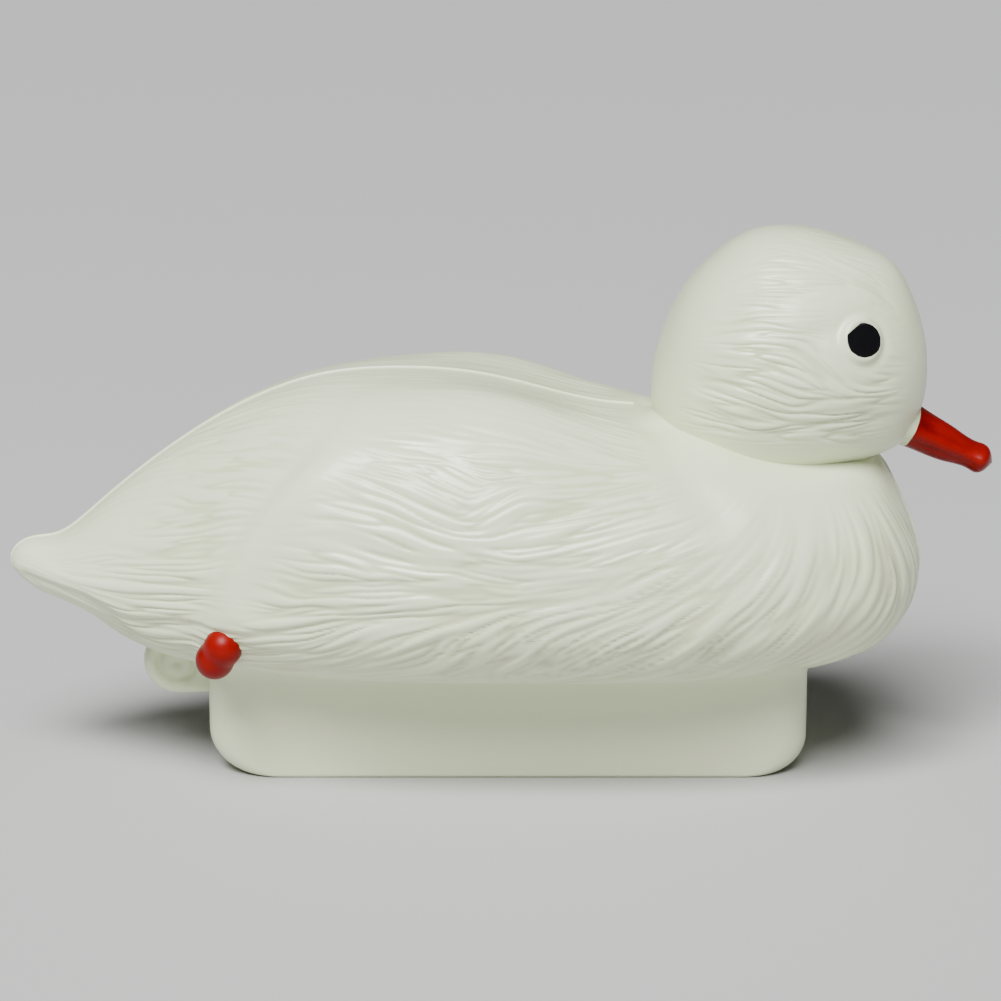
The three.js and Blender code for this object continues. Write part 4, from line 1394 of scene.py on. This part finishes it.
@dataclass
class PartingLine:
    """The thin ridge where the two halves of the moulding meet."""

    ridge: float = 0.75
    spacing: float = 1.2
    facets: int = 10
    sunk: float = 0.1

    def _tree(self, finish: bpy.types.Material) -> bpy.types.NodeTree:
        """Build the node tree that sweeps a small round ridge along a path."""
        tree = bpy.data.node_groups.new("ridge_on_path", "GeometryNodeTree")
        tree.interface.new_socket("Geometry", in_out="INPUT", socket_type="NodeSocketGeometry")
        for label, kind in (("Ridge", "NodeSocketFloat"), ("Spacing", "NodeSocketFloat"), ("Facets", "NodeSocketInt")):
            tree.interface.new_socket(label, in_out="INPUT", socket_type=kind)
        tree.interface.new_socket("Geometry", in_out="OUTPUT", socket_type="NodeSocketGeometry")
        sketch = Sketch(tree)
        given, result = sketch.add("NodeGroupInput"), sketch.add("NodeGroupOutput")
        curve = sketch.add("GeometryNodeMeshToCurve")
        even = sketch.add("GeometryNodeResampleCurve", mode="LENGTH")
        circle = sketch.add("GeometryNodeCurvePrimitiveCircle", mode="RADIUS")
        sweep = sketch.add("GeometryNodeCurveToMesh")
        smooth = sketch.add("GeometryNodeSetShadeSmooth")
        paint = sketch.add("GeometryNodeSetMaterial")
        real = sketch.add("GeometryNodeRealizeInstances")
        sketch.feed(curve.inputs[0], given.outputs["Geometry"])
        sketch.feed(even.inputs["Curve"], curve.outputs[0])
        sketch.feed(even.inputs["Length"], given.outputs["Spacing"])
        sketch.feed(circle.inputs["Resolution"], given.outputs["Facets"])
        sketch.feed(circle.inputs["Radius"], given.outputs["Ridge"])
        sketch.feed(sweep.inputs["Curve"], even.outputs[0])
        sketch.feed(sweep.inputs["Profile Curve"], circle.outputs[0])
        sketch.feed(sweep.inputs["Fill Caps"], True)
        sketch.feed(smooth.inputs["Geometry"], sweep.outputs[0])
        sketch.feed(paint.inputs["Geometry"], smooth.outputs[0])
        sketch.feed(paint.inputs["Material"], finish)
        sketch.feed(real.inputs["Geometry"], paint.outputs[0])
        sketch.feed(result.inputs["Geometry"], real.outputs[0])
        return tree

    def _paths(self, trunk: Trunk) -> List[Array]:
        """Return the ridge's paths on the back and tail, and down the breast."""
        grid = trunk.halves[Half.RIGHT]
        breast, back = grid[:, 0], grid[:, -1]
        neck = np.array(trunk.neck)
        clear = [np.linalg.norm(line - neck, axis=-1) > trunk.neck_radius - 2 for line in (breast, back)]
        under = breast[clear[0]]
        behind = under[under[:, 0] < Keel.back - 1.0]
        before = under[under[:, 0] > Keel.front - 4.0]
        over = np.concatenate([back[clear[1]], [[trunk.tail_x + 0.2, 0.0, trunk.tip_z]], behind[::-1]])
        paths = []
        for path in (over, before):
            way = unit(np.gradient(path, axis=0))
            out = np.stack([-way[:, 2], np.zeros(len(way)), way[:, 0]], axis=-1)
            facing = np.sign((out * (path - np.array([20.0, 0.0, 88.0]))).sum(axis=-1, keepdims=True))
            paths.append(path - out * facing * self.sunk)
        return paths

    def build(self, trunk: Trunk, finish: bpy.types.Material) -> bpy.types.Object:
        """Make the ridge.

        Args:
            trunk: The body that it runs on.
            finish: Its material.

        Returns:
            The piece.
        """
        corners: List[Sequence[float]] = []
        edges: List[Tuple[int, int]] = []
        for path in self._paths(trunk):
            first = len(corners)
            corners += (path * MM).tolist()
            edges += [(i, i + 1) for i in range(first, len(corners) - 1)]
        wire = bpy.data.meshes.new("parting_path")
        wire.from_pydata(corners, edges, [])
        carrier = bpy.data.objects.new("parting_path", wire)
        bpy.context.scene.collection.objects.link(carrier)
        tree = self._tree(finish)
        modifier = carrier.modifiers.new("ridge", "NODES")
        modifier.node_group = tree
        wanted = {"Ridge": self.ridge * MM, "Spacing": self.spacing * MM, "Facets": self.facets}
        for item in tree.interface.items_tree:
            if item.in_out == "INPUT" and item.name in wanted:
                modifier[item.identifier] = wanted[item.name]
        bpy.context.view_layer.update()
        evaluated = carrier.evaluated_get(bpy.context.evaluated_depsgraph_get())
        mesh = bpy.data.meshes.new_from_object(evaluated)
        bpy.data.objects.remove(carrier)
        bpy.data.meshes.remove(wire)
        mesh.name = "parting_line"
        layer = mesh.attributes.new("relief", "FLOAT", "POINT")
        layer.data.foreach_set("value", np.ones(len(mesh.vertices), np.float32))
        piece = bpy.data.objects.new("parting_line", mesh)
        bpy.context.scene.collection.objects.link(piece)
        LOG.info("parting_line: %d faces", len(mesh.polygons))
        return dressed(piece, finish)


# The studio


@dataclass(frozen=True)
class SoftLight:
    """One soft rectangular light."""

    name: str
    place: Tuple[float, float, float]
    target: Tuple[float, float, float]
    width: float
    height: float
    power: float
    color: Tuple[float, float, float] = (1.0, 1.0, 1.0)

    def build(self) -> None:
        """Add the light to the scene."""
        data = bpy.data.lights.new(self.name, "AREA")
        data.shape = "RECTANGLE"
        data.size, data.size_y = self.width, self.height
        data.energy = self.power
        data.color = self.color
        lamp = bpy.data.objects.new(self.name, data)
        lamp.location = self.place
        way = Vector(self.target) - Vector(self.place)
        lamp.rotation_euler = way.to_track_quat("-Z", "Y").to_euler()
        bpy.context.scene.collection.objects.link(lamp)


@dataclass
class Studio:
    """The floor, the lights and the camera."""

    floor_size: float = 14.0
    camera_place: Tuple[float, float, float] = (0.0, -1.45544, 0.46319)
    focal_length: float = 147.0
    floor_tone: float = 0.5
    surround: float = 0.07
    sun_way: Tuple[float, float, float] = (0.18, 1.0, -1.3)
    sun_power: float = 5.6
    sun_angle: float = 0.6
    lights: Tuple[SoftLight, ...] = (
        SoftLight("key", (-0.55, -1.15, 1.75), (0.0, 0.0, 0.08), 0.55, 0.45, 20.0),
    )

    def build(self) -> None:
        """Set up the studio."""
        self._floor()
        self._world()
        self._sun()
        for light in self.lights:
            light.build()
        self._camera()

    def _sun(self) -> None:
        """Add one broad, even light from above the camera."""
        data = bpy.data.lights.new("sky_panel", "SUN")
        data.energy = self.sun_power
        data.angle = self.sun_angle
        lamp = bpy.data.objects.new("sky_panel", data)
        lamp.rotation_euler = Vector(self.sun_way).to_track_quat("-Z", "Y").to_euler()
        bpy.context.scene.collection.objects.link(lamp)

    def _floor(self) -> None:
        """Lay a plain pale floor."""
        half = self.floor_size / 2
        mesh = bpy.data.meshes.new("floor")
        mesh.from_pydata([(-half, -half, 0), (half, -half, 0), (half, half, 0), (-half, half, 0)], [], [(0, 1, 2, 3)])
        floor = bpy.data.objects.new("floor", mesh)
        bpy.context.scene.collection.objects.link(floor)
        material = bpy.data.materials.new("pale_floor")
        material.use_nodes = True
        shader = material.node_tree.nodes["Principled BSDF"]
        shader.inputs["Base Color"].default_value = (self.floor_tone,) * 3 + (1.0,)
        shader.inputs["Roughness"].default_value = 0.8
        mesh.materials.append(material)

    def _world(self) -> None:
        """Light the surroundings evenly."""
        world = bpy.data.worlds.new("studio")
        world.use_nodes = True
        background = world.node_tree.nodes["Background"]
        background.inputs["Color"].default_value = (1.0, 1.0, 1.0, 1.0)
        background.inputs["Strength"].default_value = self.surround
        bpy.context.scene.world = world

    def _camera(self) -> None:
        """Place the camera at the photographed angle."""
        data = bpy.data.cameras.new("camera")
        data.lens = self.focal_length
        data.sensor_width = 36.0
        data.clip_end = 60.0
        camera = bpy.data.objects.new("camera", data)
        camera.location = self.camera_place
        camera.rotation_euler = (float(np.pi / 2 - CAMERA_DIP), 0.0, 0.0)
        bpy.context.scene.collection.objects.link(camera)
        bpy.context.scene.camera = camera


def main() -> None:
    """Build the decoy and its studio."""
    logging.basicConfig(level=logging.INFO, format="%(message)s")
    shared = SharedEffects()
    head, bill = Head(), Bill()
    _, ahead, up = head.eye_frame()
    spot = Spot(tuple(v * MM for v in head.eye), tuple(ahead), tuple(up), 6.1 * MM, 5.7 * MM)
    pearl = PearlFinish("pearl_white").build(shared)
    streaked = PearlFinish("keel_pearl", streaks=True).build(shared)
    face = PearlFinish("head_pearl", spot=spot).build(shared)
    forward, _ = bill.axes()
    start = (np.array(bill.root) + bill.paint_from * forward) * MM
    bill_paint = EnamelFinish("bill_red", start=tuple(start), way=tuple(forward)).build(shared)
    foot_paint = EnamelFinish("foot_red").build(shared)
    trunk = Trunk()
    trunk.build(pearl)
    Keel().build(trunk, streaked)
    LineTie().build(pearl)
    for half in Half:
        Foot().build(half, foot_paint)
    head.build(face)
    bill.build(bill_paint)
    PartingLine().build(trunk, pearl)
    Studio().build()


if __name__ == "__main__":
    main()
